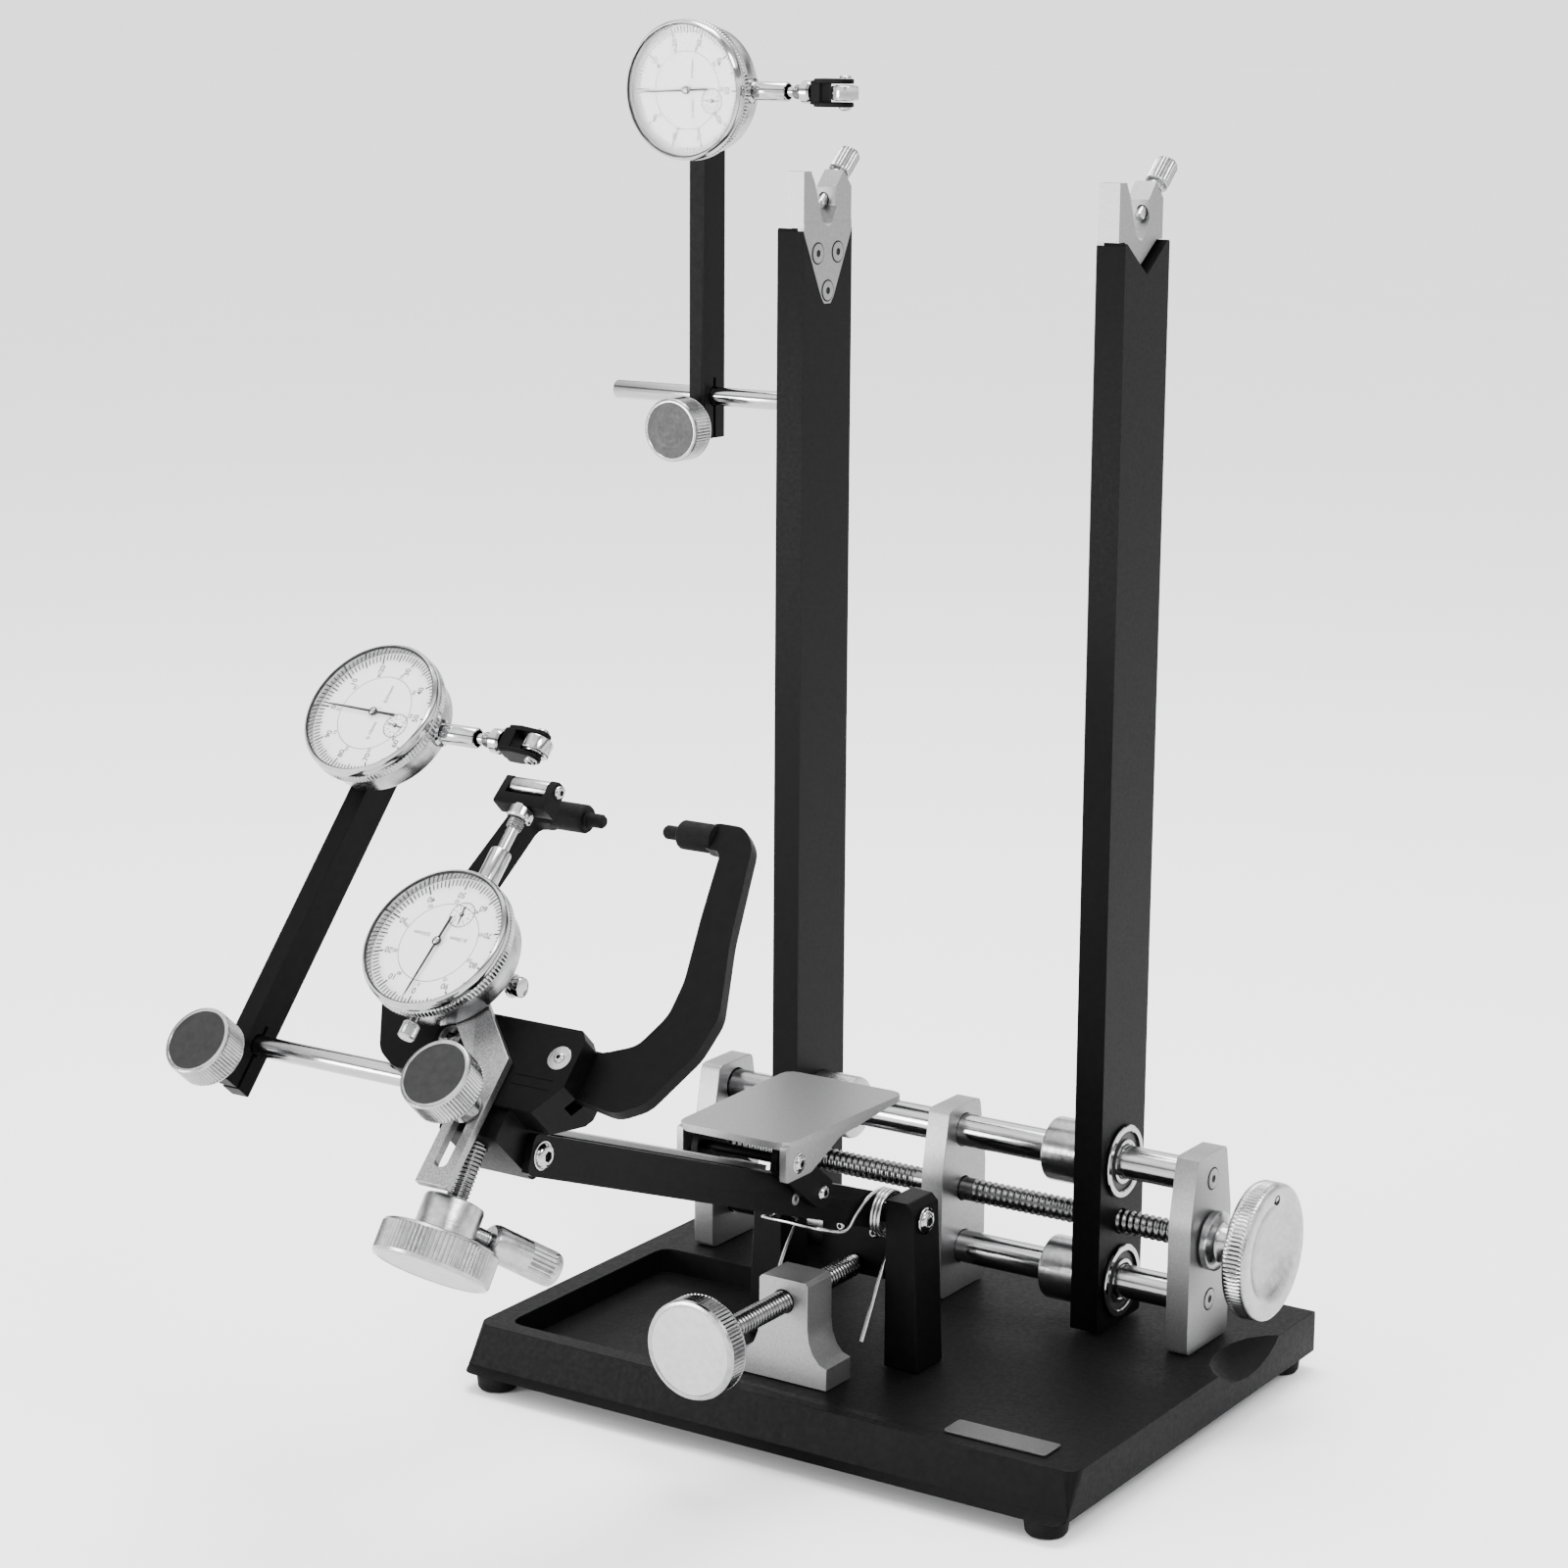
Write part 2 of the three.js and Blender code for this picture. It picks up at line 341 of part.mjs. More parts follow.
// ---------- dial indicators: frame x along the stem, z out of the face ----------
function dial(tag, frame, hand, wide, back) {
  const R = DIAL.r, rim = DIAL.rim, at = [0, 0, 0], mid = -13.3;
  const reach = wide ? 58.5 : 52;
  const caseBody = join(turned([[0, -DIAL.depth], [DIAL.caseR - 1, -DIAL.depth], [DIAL.caseR, -DIAL.depth + 1],
    [DIAL.caseR, -rim - GAP], [0, -rim - GAP]], 'z', at, 28),
  rod(4, 24, DIAL.stem, 'x', [0, 0, mid], 16),
  back ? rod(19, -DIAL.depth - 2.9, -DIAL.depth + 0.5, 'z', at, 24) : rod(4.5, -29.5, -24, 'x', [0, 0, mid], 12));
  add(`${tag}_case`, cut(caseBody, rod(2.1 + GAP, 8, DIAL.stem + 1, 'x', [0, 0, mid], 12),
    rod(1.2 + GAP, -10.5, 0, 'z', at, 10)), 'silver', frame);
  add(`${tag}_bezel`, turned([[1.2 + GAP, -rim], [R - 1, -rim], [R, -rim + 1], [R, -1.4], [R - 1.2, 0], [R - 2.4, 0],
    [R - 3.6, -1.6], [R - 3.6, -4.5], [1.2 + GAP, -4.5], [1.2 + GAP, -rim]], 'z', at, 28), 'face', frame);
  const pointer = join(rod(1.2, -10, -3, 'z', at, 10), rod(2, -3.8, -2.6, 'z', at, 12),
    toManifold(new THREE.ExtrudeGeometry(new THREE.Shape([[-8, -0.5], [21.5, -0.2], [21.5, 0.2], [-8, 0.5]]
      .map(([a, b]) => new THREE.Vector2(a, b))), { depth: 0.5, bevelEnabled: false })
      .translate(0, 0, -3.5).rotateZ(rad(hand))));
  add(`${tag}_hand`, pointer, 'dark', frame);
  const w = wide ? 11.5 : 6.4, half = wide ? 8.2 : 3.2, rr = wide ? 3.6 : 5.6, cx = DIAL.roller;
  const prong = rounded([[reach + 4, -4.2], [cx + (wide ? 3 : 2), -3.2], [cx + 3.4, 0], [cx + (wide ? 3 : 2), 3.2],
    [reach + 4, 4.2]], 1, 2);
  const forkBody = cut(plate(prong, 'xz', -w, w), box(cx - rr - 1, cx + 20, -half - GAP, half + GAP, -10, 10));
  const plunger = join(turned([[0, 18], [2.1, 18], [2.1, reach - 0.5], [4, reach], [4.3, reach + 4.5], [0, reach + 4.5]],
    'x', at, 16), forkBody);
  add(`${tag}_plunger`, join(plunger, rod(1.2, -half - 1, half + 1, 'y', [cx, 0, 0], 10)), 'dark',
    frame.clone().multiply(new THREE.Matrix4().makeTranslation(0, 0, mid)));
  add(`${tag}_roller`, tube(1.2 + GAP, rr, -half, half, 'y', [cx, 0, 0], 16), 'steel',
    frame.clone().multiply(new THREE.Matrix4().makeTranslation(0, 0, mid)));
}
dial('dial_1', frameOf([-122, -29.5, 505], [1, 0, 0], [0, 0, 1], [0, -1, 0]), 183, false, true);
const dial2Frame = tiltX([-117.8, ROD2.y, ROD2.z], BAR2_TILT)
  .multiply(new THREE.Matrix4().makeTranslation(0, 131, 29.5));
dial('dial_2', dial2Frame, 178, false, true);
const dial3Frame = headFrame.clone().multiply(new THREE.Matrix4().makeTranslation(-32.9, 26.4, 35))
  .multiply(new THREE.Matrix4().makeRotationZ(Math.PI / 2));
dial('dial_3', dial3Frame, 174, true, false);

export default group;
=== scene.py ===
import math
import bpy
import bmesh
from mathutils import Matrix, Vector


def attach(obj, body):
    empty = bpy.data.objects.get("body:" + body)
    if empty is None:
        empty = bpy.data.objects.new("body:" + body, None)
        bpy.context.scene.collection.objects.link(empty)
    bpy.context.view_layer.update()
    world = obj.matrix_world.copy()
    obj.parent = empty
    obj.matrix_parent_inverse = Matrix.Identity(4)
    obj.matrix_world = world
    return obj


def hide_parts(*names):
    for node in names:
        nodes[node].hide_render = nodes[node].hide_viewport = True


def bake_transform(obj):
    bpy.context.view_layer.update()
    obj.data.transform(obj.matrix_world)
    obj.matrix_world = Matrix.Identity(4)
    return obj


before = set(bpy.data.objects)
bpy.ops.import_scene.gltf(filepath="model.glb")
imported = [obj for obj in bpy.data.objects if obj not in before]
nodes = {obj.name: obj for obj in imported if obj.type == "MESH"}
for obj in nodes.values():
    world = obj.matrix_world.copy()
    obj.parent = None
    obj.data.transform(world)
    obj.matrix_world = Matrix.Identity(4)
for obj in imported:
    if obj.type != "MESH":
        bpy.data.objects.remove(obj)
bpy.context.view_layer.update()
ORIGIN = Vector((12, 155, 26))
MM = 0.001
rad = math.radians

# ---------- driving sizes, in millimetres and degrees from the frame's datum ----------
ROD_LEVELS = (("upper", 71.7), ("lower", 19.7))
ROD_R = 7
SCREW_Z = 45.6
BLOCK_FACE_X = 122.4
FOOT_X, FOOT_Y = 131, (("front", -150), ("rear", 52))
PIVOT_Y, PIVOT_Z = -88.6, 62.7
ARM_LEAN = 20.4
HINGE_Y, HINGE_Z = -311.9, 146.0
HEAD_AT, HEAD_LEAN = (0, -304, 174.6), 46
PIVOT_X = 24.1
CARRIER_R = 4
CARRIER_1_Z = 376
CARRIER_2_Y, CARRIER_2_Z = -305.8, 161.9
BAR_2_LEAN = 48.8
THUMB_AT, THUMB_LEAN = (74.6, 3.8, 458.4), 48
BEZEL_R = 29.0
STEM_DEPTH, ROLLER_X = -13.3, 71.8
WIRE_R, COIL_R, COIL_TURNS = 0.85, 9.2, 3.33
DECK_CORNER_R, DECK_LIP_Z = 6, -14.5


# ---------- materials ----------
def material(name, dark, light, metallic, rough, rough_to, scale, bump, bump_scale, stretch=(1, 1, 1),
             wear=None, spec=0.5, spun=False, detail=6.0):
    m = bpy.data.materials.new(name)
    m.use_nodes = True
    nt = m.node_tree
    nt.nodes.clear()
    N, L = nt.nodes.new, nt.links.new
    out, bs = N("ShaderNodeOutputMaterial"), N("ShaderNodeBsdfPrincipled")
    L(bs.outputs["BSDF"], out.inputs["Surface"])
    tc, mp = N("ShaderNodeTexCoord"), N("ShaderNodeMapping")
    L(tc.outputs["Object"], mp.inputs["Vector"])
    mp.inputs["Scale"].default_value = stretch
    vec = mp.outputs["Vector"]
    n1 = N("ShaderNodeTexNoise")
    n1.inputs["Scale"].default_value = scale
    n1.inputs["Detail"].default_value = detail
    n1.inputs["Roughness"].default_value = 0.6
    L(vec, n1.inputs["Vector"])
    ramp = N("ShaderNodeValToRGB")
    ramp.color_ramp.elements[0].position, ramp.color_ramp.elements[1].position = 0.3, 0.72
    ramp.color_ramp.elements[0].color = (*dark, 1)
    ramp.color_ramp.elements[1].color = (*light, 1)
    L(n1.outputs["Fac"], ramp.inputs["Fac"])
    colour = ramp.outputs["Color"]
    n2 = N("ShaderNodeTexNoise")
    n2.inputs["Scale"].default_value = scale * 2.3
    n2.inputs["Detail"].default_value = 8.0
    L(vec, n2.inputs["Vector"])
    mr = N("ShaderNodeMapRange")
    mr.inputs["From Min"].default_value, mr.inputs["From Max"].default_value = 0.3, 0.7
    mr.inputs["To Min"].default_value, mr.inputs["To Max"].default_value = rough, rough_to
    L(n2.outputs["Fac"], mr.inputs["Value"])
    L(mr.outputs["Result"], bs.inputs["Roughness"])
    if wear:
        n4, r4, mix = N("ShaderNodeTexNoise"), N("ShaderNodeValToRGB"), N("ShaderNodeMix")
        n4.inputs["Scale"].default_value = wear[1]
        n4.inputs["Detail"].default_value = 12.0
        n4.inputs["Roughness"].default_value = 0.75
        L(tc.outputs["Object"], n4.inputs["Vector"])
        r4.color_ramp.elements[0].position, r4.color_ramp.elements[1].position = wear[2], wear[2] + 0.06
        L(n4.outputs["Fac"], r4.inputs["Fac"])
        mix.data_type = "RGBA"
        L(r4.outputs["Color"], mix.inputs["Factor"])
        L(colour, mix.inputs[6])
        mix.inputs[7].default_value = (*wear[0], 1)
        colour = mix.outputs[2]
    L(colour, bs.inputs["Base Color"])
    n3, bp = N("ShaderNodeTexNoise"), N("ShaderNodeBump")
    n3.inputs["Scale"].default_value = bump_scale
    n3.inputs["Detail"].default_value = 4.0
    if spun:
        # turned finish: fine rings about the piece's own axis
        sep, com, sq = N("ShaderNodeSeparateXYZ"), N("ShaderNodeCombineXYZ"), N("ShaderNodeVectorMath")
        sq.operation = "LENGTH"
        flat = N("ShaderNodeCombineXYZ")
        L(tc.outputs["Object"], sep.inputs["Vector"])
        L(sep.outputs["X"], flat.inputs["X"])
        L(sep.outputs["Y"], flat.inputs["Y"])
        L(flat.outputs["Vector"], sq.inputs[0])
        L(sq.outputs["Value"], com.inputs["X"])
        L(sep.outputs["Z"], com.inputs["Z"])
        L(com.outputs["Vector"], n3.inputs["Vector"])
    else:
        L(vec, n3.inputs["Vector"])
    bp.inputs["Strength"].default_value = bump
    bp.inputs["Distance"].default_value = 0.0002
    L(n3.outputs["Fac"], bp.inputs["Height"])
    L(bp.outputs["Normal"], bs.inputs["Normal"])
    bs.inputs["Metallic"].default_value = metallic
    bs.inputs["Specular IOR Level"].default_value = spec
    return m


def g(v):
    """A grey with a trace of blue."""
    return (v, v, v * 1.01)


BLACK = material("black_satin", g(0.0010), g(0.0020), 0.0, 0.40, 0.50, 300, 0.14, 2600,
                 wear=(g(0.006), 900, 0.72), spec=0.05)
DECK = material("black_deck", g(0.0016), g(0.0030), 0.0, 0.46, 0.58, 240, 0.10, 2400,
                wear=(g(0.008), 700, 0.71), spec=0.05)
SILVER = material("satin_silver", g(0.19), g(0.25), 1.0, 0.38, 0.46, 900, 0.20, 3200,
                  wear=(g(0.38), 1500, 0.73))
PLATE = material("plate_silver", g(0.07), g(0.10), 1.0, 0.36, 0.44, 900, 0.20, 3200,
                 wear=(g(0.16), 1500, 0.73))
SPUN = material("turned_silver", g(0.26), g(0.37), 1.0, 0.17, 0.26, 300, 0.30, 4200, spun=True,
                wear=(g(0.36), 700, 0.73))
FACE_DARK = material("knob_face", g(0.022), g(0.032), 0.9, 0.34, 0.44, 300, 0.35, 5200, spun=True,
                     wear=(g(0.12), 500, 0.74))
FACE_LIGHT = material("light_face", g(0.34), g(0.42), 0.85, 0.36, 0.46, 300, 0.20, 5200, spun=True,
                      wear=(g(0.4), 500, 0.74))
CHROME = material("chrome", g(0.30), g(0.40), 1.0, 0.06, 0.13, 200, 0.04, 1800, wear=(g(0.36), 600, 0.75))
RODS = material("ground_rod", g(0.28), g(0.38), 1.0, 0.09, 0.16, 60, 0.08, 900, stretch=(60, 1, 1),
                wear=(g(0.32), 400, 0.74))
THREAD = material("dark_thread", g(0.10), g(0.17), 1.0, 0.18, 0.30, 300, 0.10, 1800,
                  wear=(g(0.32), 600, 0.70))
WIRE = material("spring_wire", g(0.36), g(0.48), 1.0, 0.16, 0.26, 300, 0.08, 1500, wear=(g(0.22), 600, 0.70))
RUBBER = material("rubber", g(0.002), g(0.004), 0.0, 0.60, 0.76, 400, 0.35, 2200, wear=(g(0.010), 900, 0.74),
                  spec=0.08)
CAST = material("cast_silver", g(0.15), g(0.33), 1.0, 0.32, 0.46, 1500, 0.5, 1700, detail=2.0,
                wear=(g(0.20), 1300, 0.66))
DIALFACE = material("dial_paper", (0.78, 0.78, 0.78), (0.82, 0.82, 0.82), 0.0, 0.42, 0.52, 160, 0.03, 2600,
                    spec=0.2)
INK = material("ink", g(0.002), g(0.005), 0.0, 0.5, 0.6, 400, 0.05, 3000, spec=0.05)
SEAL = material("seal", g(0.012), g(0.03), 0.1, 0.4, 0.55, 400, 0.2, 2500, spec=0.3)
# painted shade: near-black colour for the insides of sockets, the gap round flat screw heads and the wheel's
# dimple
SOCKET_SHADE = material("painted_socket_shade", g(0.004), g(0.009), 0.0, 0.5, 0.6, 400, 0.1, 2500, spec=0.1)


def glass_material():
    m = bpy.data.materials.new("crystal")
    m.use_nodes = True
    nt = m.node_tree
    nt.nodes.clear()
    N, L = nt.nodes.new, nt.links.new
    out, mix, tr, gl = (N("ShaderNodeOutputMaterial"), N("ShaderNodeMixShader"),
                        N("ShaderNodeBsdfTransparent"), N("ShaderNodeBsdfGlossy"))
    fresnel, noise = N("ShaderNodeFresnel"), N("ShaderNodeTexNoise")
    mr, tc = N("ShaderNodeMapRange"), N("ShaderNodeTexCoord")
    fresnel.inputs["IOR"].default_value = 1.18
    noise.inputs["Scale"].default_value = 120
    mr.inputs["To Min"].default_value, mr.inputs["To Max"].default_value = 0.02, 0.07
    L(tc.outputs["Object"], noise.inputs["Vector"])
    L(noise.outputs["Fac"], mr.inputs["Value"])
    L(mr.outputs["Result"], gl.inputs["Roughness"])
    L(fresnel.outputs["Fac"], mix.inputs["Fac"])
    L(tr.outputs["BSDF"], mix.inputs[1])
    L(gl.outputs["BSDF"], mix.inputs[2])
    L(mix.outputs["Shader"], out.inputs["Surface"])
    return m


GLASS = glass_material()


# ---------- frames and meshes ----------
def F(o, x=(1, 0, 0), y=(0, 1, 0), z=(0, 0, 1)):
    """Frame at o, given in mm from the datum, with these axes."""
    t = (Vector(o) + ORIGIN) * MM
    return Matrix([[x[i], y[i], z[i], t[i]] for i in range(3)] + [[0, 0, 0, 1]])


def shifted(M, x, y, z):
    return M @ Matrix.Translation(Vector((x, y, z)) * MM)


def tilt(o, deg):
    """Frame at o whose z leans deg towards -y, as the head and the second bar do."""
    c, s = math.cos(rad(deg)), math.sin(rad(deg))
    return F(o, (1, 0, 0), (0, c, s), (0, -s, c))


def along(o, axis, ref=(0, 0, 1)):
    """Frame whose z runs along axis."""
    z = Vector(axis).normalized()
    x = Vector(ref).cross(z)
    if x.length < 1e-4:
        x = Vector((1, 0, 0))
    x.normalize()
    return F(o, x, z.cross(x), z)


def finish_mesh(me, sharp):
    bm = bmesh.new()
    bm.from_mesh(me)
    bmesh.ops.remove_doubles(bm, verts=bm.verts, dist=1e-7)
    bmesh.ops.recalc_face_normals(bm, faces=bm.faces)
    for f in bm.faces:
        f.smooth = True
    for e in bm.edges:
        if len(e.link_faces) == 2 and e.calc_face_angle(0.0) > rad(sharp):
            e.smooth = False
    bm.to_mesh(me)
    bm.free()


def put(name, verts, faces, M, body, mat, slot, sharp=32, replaces=(), mats=None, index=None):
    """Make a piece. Without a body it rides on nothing yet."""
    me = bpy.data.meshes.new(name)
    me.from_pydata([tuple(c * MM for c in v) for v in verts], [], faces)
    for m in (mats or [mat]):
        me.materials.append(m)
    if index:
        for p, i in zip(me.polygons, index):
            p.material_index = i
    finish_mesh(me, sharp)
    o = bpy.data.objects.new(name, me)
    bpy.context.scene.collection.objects.link(o)
    o.matrix_world = M
    if body:
        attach(o, body)
    if replaces:
        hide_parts(*replaces)
    return o


def radius_at(r, flag, z, a, knurl):
    """Radius of a profile row at angle a. knurl is (teeth, depth, twist per mm)."""
    if not flag:
        return r
    if flag == "hex":
        k = (math.degrees(a) + 30) % 60 - 30
        return r * math.cos(rad(30)) / math.cos(rad(k))
    n, depth, twist = knurl
    w = 0.5 + 0.5 * math.cos(n * a + twist * z)
    return r - depth * (w ** 1.5) * flag


def lathe(profile, segs=72, knurl=None, zones=None):
    """Profile rows are (radius, height[, flag]); flag 1 is knurled, "hex" is six-sided.
    zones gives a material per row."""
    verts, faces, index, rings = [], [], [], []
    for row in profile:
        r, z = row[0], row[1]
        flag = row[2] if len(row) > 2 else 0
        if r < 1e-6:
            rings.append([len(verts)])
            verts.append((0, 0, z))
            continue
        ring = []
        for i in range(segs):
            a = 2 * math.pi * i / segs
            q = radius_at(r, flag, z, a, knurl)
            ring.append(len(verts))
            verts.append((q * math.cos(a), q * math.sin(a), z))
        rings.append(ring)
    pairs = list(zip(rings, rings[1:]))
    if len(rings[0]) > 1 and len(rings[-1]) > 1:
        pairs.append((rings[-1], rings[0]))
    for k, (A, B) in enumerate(pairs):
        for i in range(segs):
            j = (i + 1) % segs
            if len(A) == 1 and len(B) == 1:
                continue
            if len(A) == 1:
                f = (A[0], B[j], B[i])
            elif len(B) == 1:
                f = (A[i], A[j], B[0])
            else:
                f = (A[i], A[j], B[j], B[i])
            faces.append(f)
            index.append(zones[k % len(zones)] if zones else 0)
    return verts, faces, index


def turn(name, profile, M, body, mat, slot, segs=72, knurl=None, zones=None, mats=None, **k):
    v, f, i = lathe(profile, segs, knurl, zones)
    return put(name, v, f, M, body, mat, slot, mats=mats, index=i if zones else None, **k)


def rounded_rim(r, z0, z1, c, steps=3):
    """Profile rows up a rim of radius r from z0 to z1 with rounded corners c."""
    rows = []
    for i in range(steps + 1):
        a = rad(90 * i / steps)
        rows.append((r - c + c * math.sin(a), z0 + c - c * math.cos(a)))
    for i in range(steps + 1):
        a = rad(90 * i / steps)
        rows.append((r - c + c * math.cos(a), z1 - c + c * math.sin(a)))
    return rows


def rod(name, r, z0, z1, M, body, mat, slot, c=0.6, **k):
    return turn(name, [(0, z0)] + rounded_rim(r, z0, z1, c, 2) + [(0, z1)], M, body, mat, slot, **k)


def screw(name, M, body, r, h=None, mat=None, ring=None, slot="bright_steel"):
    """Domed socket screw seated on z=0 of M."""
    h = h or 0.55 * r
    rows = [(0, h - 0.62 * h), (0.46 * r, h - 0.62 * h, "hex"), (0.46 * r, h * 0.97, "hex"), (0.56 * r, h),
            (0.78 * r, h * 0.88), (0.93 * r, h * 0.58), (r, h * 0.2), (r, -0.25), (0, -0.25)]
    # the hex socket is painted near-black as painted shade in the recess
    turn(name, rows, M, body, CHROME, slot, segs=48, zones=[1, 1, 0, 0, 0, 0, 0, 0],
         mats=[mat or CHROME, SOCKET_SHADE])
    if ring:
        turn(name + "_washer", [(0.9 * r, 0.1)] + rounded_rim(ring, -0.2, 0.45, 0.2, 2) + [(0.9 * r, 0.45)],
             M, body, mat or CHROME, slot, segs=48)


def flat_screw(name, M, body, r, slot="bright_steel", mat=None):
    rows = [(0, 0.08), (0.4 * r, 0.08, "hex"), (0.4 * r, 0.3, "hex"), (0.48 * r, 0.36), (0.88 * r, 0.36),
            (0.95 * r, 0.28), (0.95 * r, 0.08), (1.1 * r, 0.08), (1.1 * r, -0.15), (0, -0.2)]
    # the socket, the step round the head and its underside are painted near-black as painted shade
    turn(name, rows, M, body, SILVER, slot, segs=48, zones=[1, 1, 0, 0, 0, 0, 1, 1, 1],
         mats=[mat or SILVER, SOCKET_SHADE])


def thread(name, r, z0, z1, pitch, depth, M, body, slot, plain=(), mat=None, segs=28, replaces=()):
    verts, faces = [], []
    steps = 6
    n = int((z1 - z0) / pitch * steps)
    for k in range(n + 1):
        z = z0 + (z1 - z0) * k / n
        smooth = any(a <= z <= b for a, b in plain)
        fade = min(1, (z - z0) / pitch, (z1 - z) / pitch)
        for i in range(segs):
            a = 2 * math.pi * i / segs
            w = 0 if smooth else 0.5 + 0.5 * math.cos(2 * math.pi * z / pitch - a)
            q = r - (depth * 0.35 if smooth else depth * w) - 0.5 * (1 - fade)
            verts.append((q * math.cos(a), q * math.sin(a), z))
    for k in range(n):
        for i in range(segs):
            j = (i + 1) % segs
            faces.append((k * segs + i, k * segs + j, (k + 1) * segs + j, (k + 1) * segs + i))
    faces.append(tuple(range(segs))[::-1])
    faces.append(tuple(n * segs + i for i in range(segs)))
    return put(name, verts, faces, M, body, mat or THREAD, slot, sharp=50, replaces=replaces)


def box(name, x0, x1, y0, y1, z0, z1, M, body, mat, slot, bevel=0.3, **k):
    v = [(x, y, z) for x in (x0, x1) for y in (y0, y1) for z in (z0, z1)]
    f = [(0, 1, 3, 2), (4, 6, 7, 5), (0, 4, 5, 1), (2, 3, 7, 6), (0, 2, 6, 4), (1, 5, 7, 3)]
    o = put(name, v, f, M, body, mat, slot, **k)
    add_bevel(o, bevel)
    return o


def add_bevel(o, width, segs=2, angle=28):
    b = o.modifiers.new("edges", "BEVEL")
    b.width, b.segments, b.limit_method, b.angle_limit = width * MM, segs, "ANGLE", rad(angle)
    b.harden_normals = True
    b.use_clamp_overlap = True
    b.miter_outer = "MITER_ARC"


def refine(node, body, mat, bevel=0.5, segs=2, angle=28, shape=None):
    """The CAD node's own shape with its edges broken. shape may first change the mesh."""
    src = nodes[node].data
    bm = bmesh.new()
    bm.from_mesh(src)
    bmesh.ops.remove_doubles(bm, verts=bm.verts, dist=3e-6)
    bmesh.ops.dissolve_limit(bm, angle_limit=rad(0.6), verts=bm.verts, edges=bm.edges)
    bmesh.ops.recalc_face_normals(bm, faces=bm.faces)
    if shape:
        shape(bm)
    for f in bm.faces:
        f.smooth = True
        f.material_index = 0
    for e in bm.edges:
        if len(e.link_faces) == 2 and e.calc_face_angle(0.0) > rad(angle):
            e.smooth = False
    me = bpy.data.meshes.new(node + "_shown")
    bm.to_mesh(me)
    bm.free()
    me.materials.append(mat)
    o = bpy.data.objects.new(node + "_shown", me)
    bpy.context.scene.collection.objects.link(o)
    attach(o, body)
    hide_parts(node)
    if bevel:
        add_bevel(o, bevel, segs, angle)
    return o


# ---------- base, feet, blocks ----------
def deck_shape(bm):
    """A short upright lip under the front slope, and rounded corners."""
    z = (ORIGIN.z + DECK_LIP_Z) * MM
    bmesh.ops.bisect_plane(bm, geom=bm.verts[:] + bm.edges[:] + bm.faces[:], plane_co=(0, 0, z),
                           plane_no=(0, 0, 1), dist=1e-6)
    front = min(v.co.y for v in bm.verts)
    for v in bm.verts:
        if abs(v.co.z - z) < 1e-5 and v.co.y < front + 0.02:
            v.co.y = front
    x = max(abs(v.co.x - ORIGIN.x * MM) for v in bm.verts)

    def is_corner(e):
        on_side = all(abs(abs(v.co.x - ORIGIN.x * MM) - x) < 1e-5 for v in e.verts)
        if not on_side or len(e.link_faces) != 2 or abs(e.verts[0].co.z - e.verts[1].co.z) < 0.003:
            return False
        lean = sorted(abs(f.normal.z) for f in e.link_faces)
        return rad(60) < e.calc_face_angle(0.0) < rad(120) and lean[0] < 0.5 and lean[1] < 0.8

    corner = [e for e in bm.edges if is_corner(e)]
    front_edges = [e for e in corner if e.verts[0].co.y < 0]
    rear_edges = [e for e in corner if e.verts[0].co.y > 0]
    for edges, r in ((front_edges, DECK_CORNER_R), (rear_edges, 1.5)):
        bmesh.ops.bevel(bm, geom=edges, offset=r * MM, offset_type="OFFSET", segments=6, profile=0.5,
                        affect="EDGES", clamp_overlap=True)


refine("base_plate", "stand", DECK, 0.9, 3, shape=deck_shape)
for side, sx in (("left", -1), ("right", 1)):
    for end, y in FOOT_Y:
        n = f"foot_{end}_{side}"
        turn("rubber_" + n, [(0, -26), (6.4, -26), (7.6, -25.6), (8.3, -24.6), (9.0, -18.9), (8.8, -18.4),
                             (0, -18.3)], F((sx * FOOT_X, y, 0)), "stand", RUBBER, "black_rubber", segs=56,
             replaces=(n,))
refine("name_plate", "stand", PLATE, 0.15)
for n in ("left", "centre", "right"):
    refine("block_" + n, "stand", SILVER, 0.55, 3)
for i, (level, z) in enumerate(ROD_LEVELS):
    rod("rod_body_" + level, ROD_R, -120, 120, along((0, 0, z), (1, 0, 0)), "stand", RODS, "bright_steel",
        segs=64, replaces=("guide_rod_" + level,))
    for sx in (-1, 1):
        flat_screw(f"rod_screw_{i}_{'l' if sx < 0 else 'r'}", along((sx * BLOCK_FACE_X, 0.6, z), (sx, 0, 0)),
                   "stand", 4.4)
thread("lead_screw_thread", 5.2, -119, 139, 3.0, 0.75, along((0, 0, SCREW_Z), (1, 0, 0)), "drive",
       "dark_steel", plain=((-17, 11),), replaces=("lead_screw",))

# handwheel
WHEEL_R = 28.5
hub = [(0, 139.4), (5.5, 139.4), (5.5, 122.9), (11.8, 122.9), (12.4, 123.5), (12.4, 126.2), (11.6, 127.1),
       (8.6, 128.3), (7.8, 129.6), (7.8, 135.4), (8.6, 137.4), (11.2, 140.0), (13, 140.8)]
rim = [(WHEEL_R - 1.6, 141.0), (WHEEL_R - 0.5, 141.4), (WHEEL_R, 142.6)]
rim += [(WHEEL_R, 142.6 + i * 0.9, 1) for i in range(1, 8)]
rim += [(WHEEL_R, 149.9), (28.1, 150.8), (27.0, 151.5)]
face = [(26.4, 151.6), (22.5, 151.45), (20.6, 151.0), (18.6, 149.6), (16.0, 148.1), (12.0, 146.9),
        (6.0, 146.2), (0, 146.0)]
turn("handwheel_body", hub + rim + face, along((0, 0, SCREW_Z), (1, 0, 0)), "drive", SPUN, "satin_silver",
     segs=384, knurl=(96, 0.55, 0), replaces=("handwheel",))
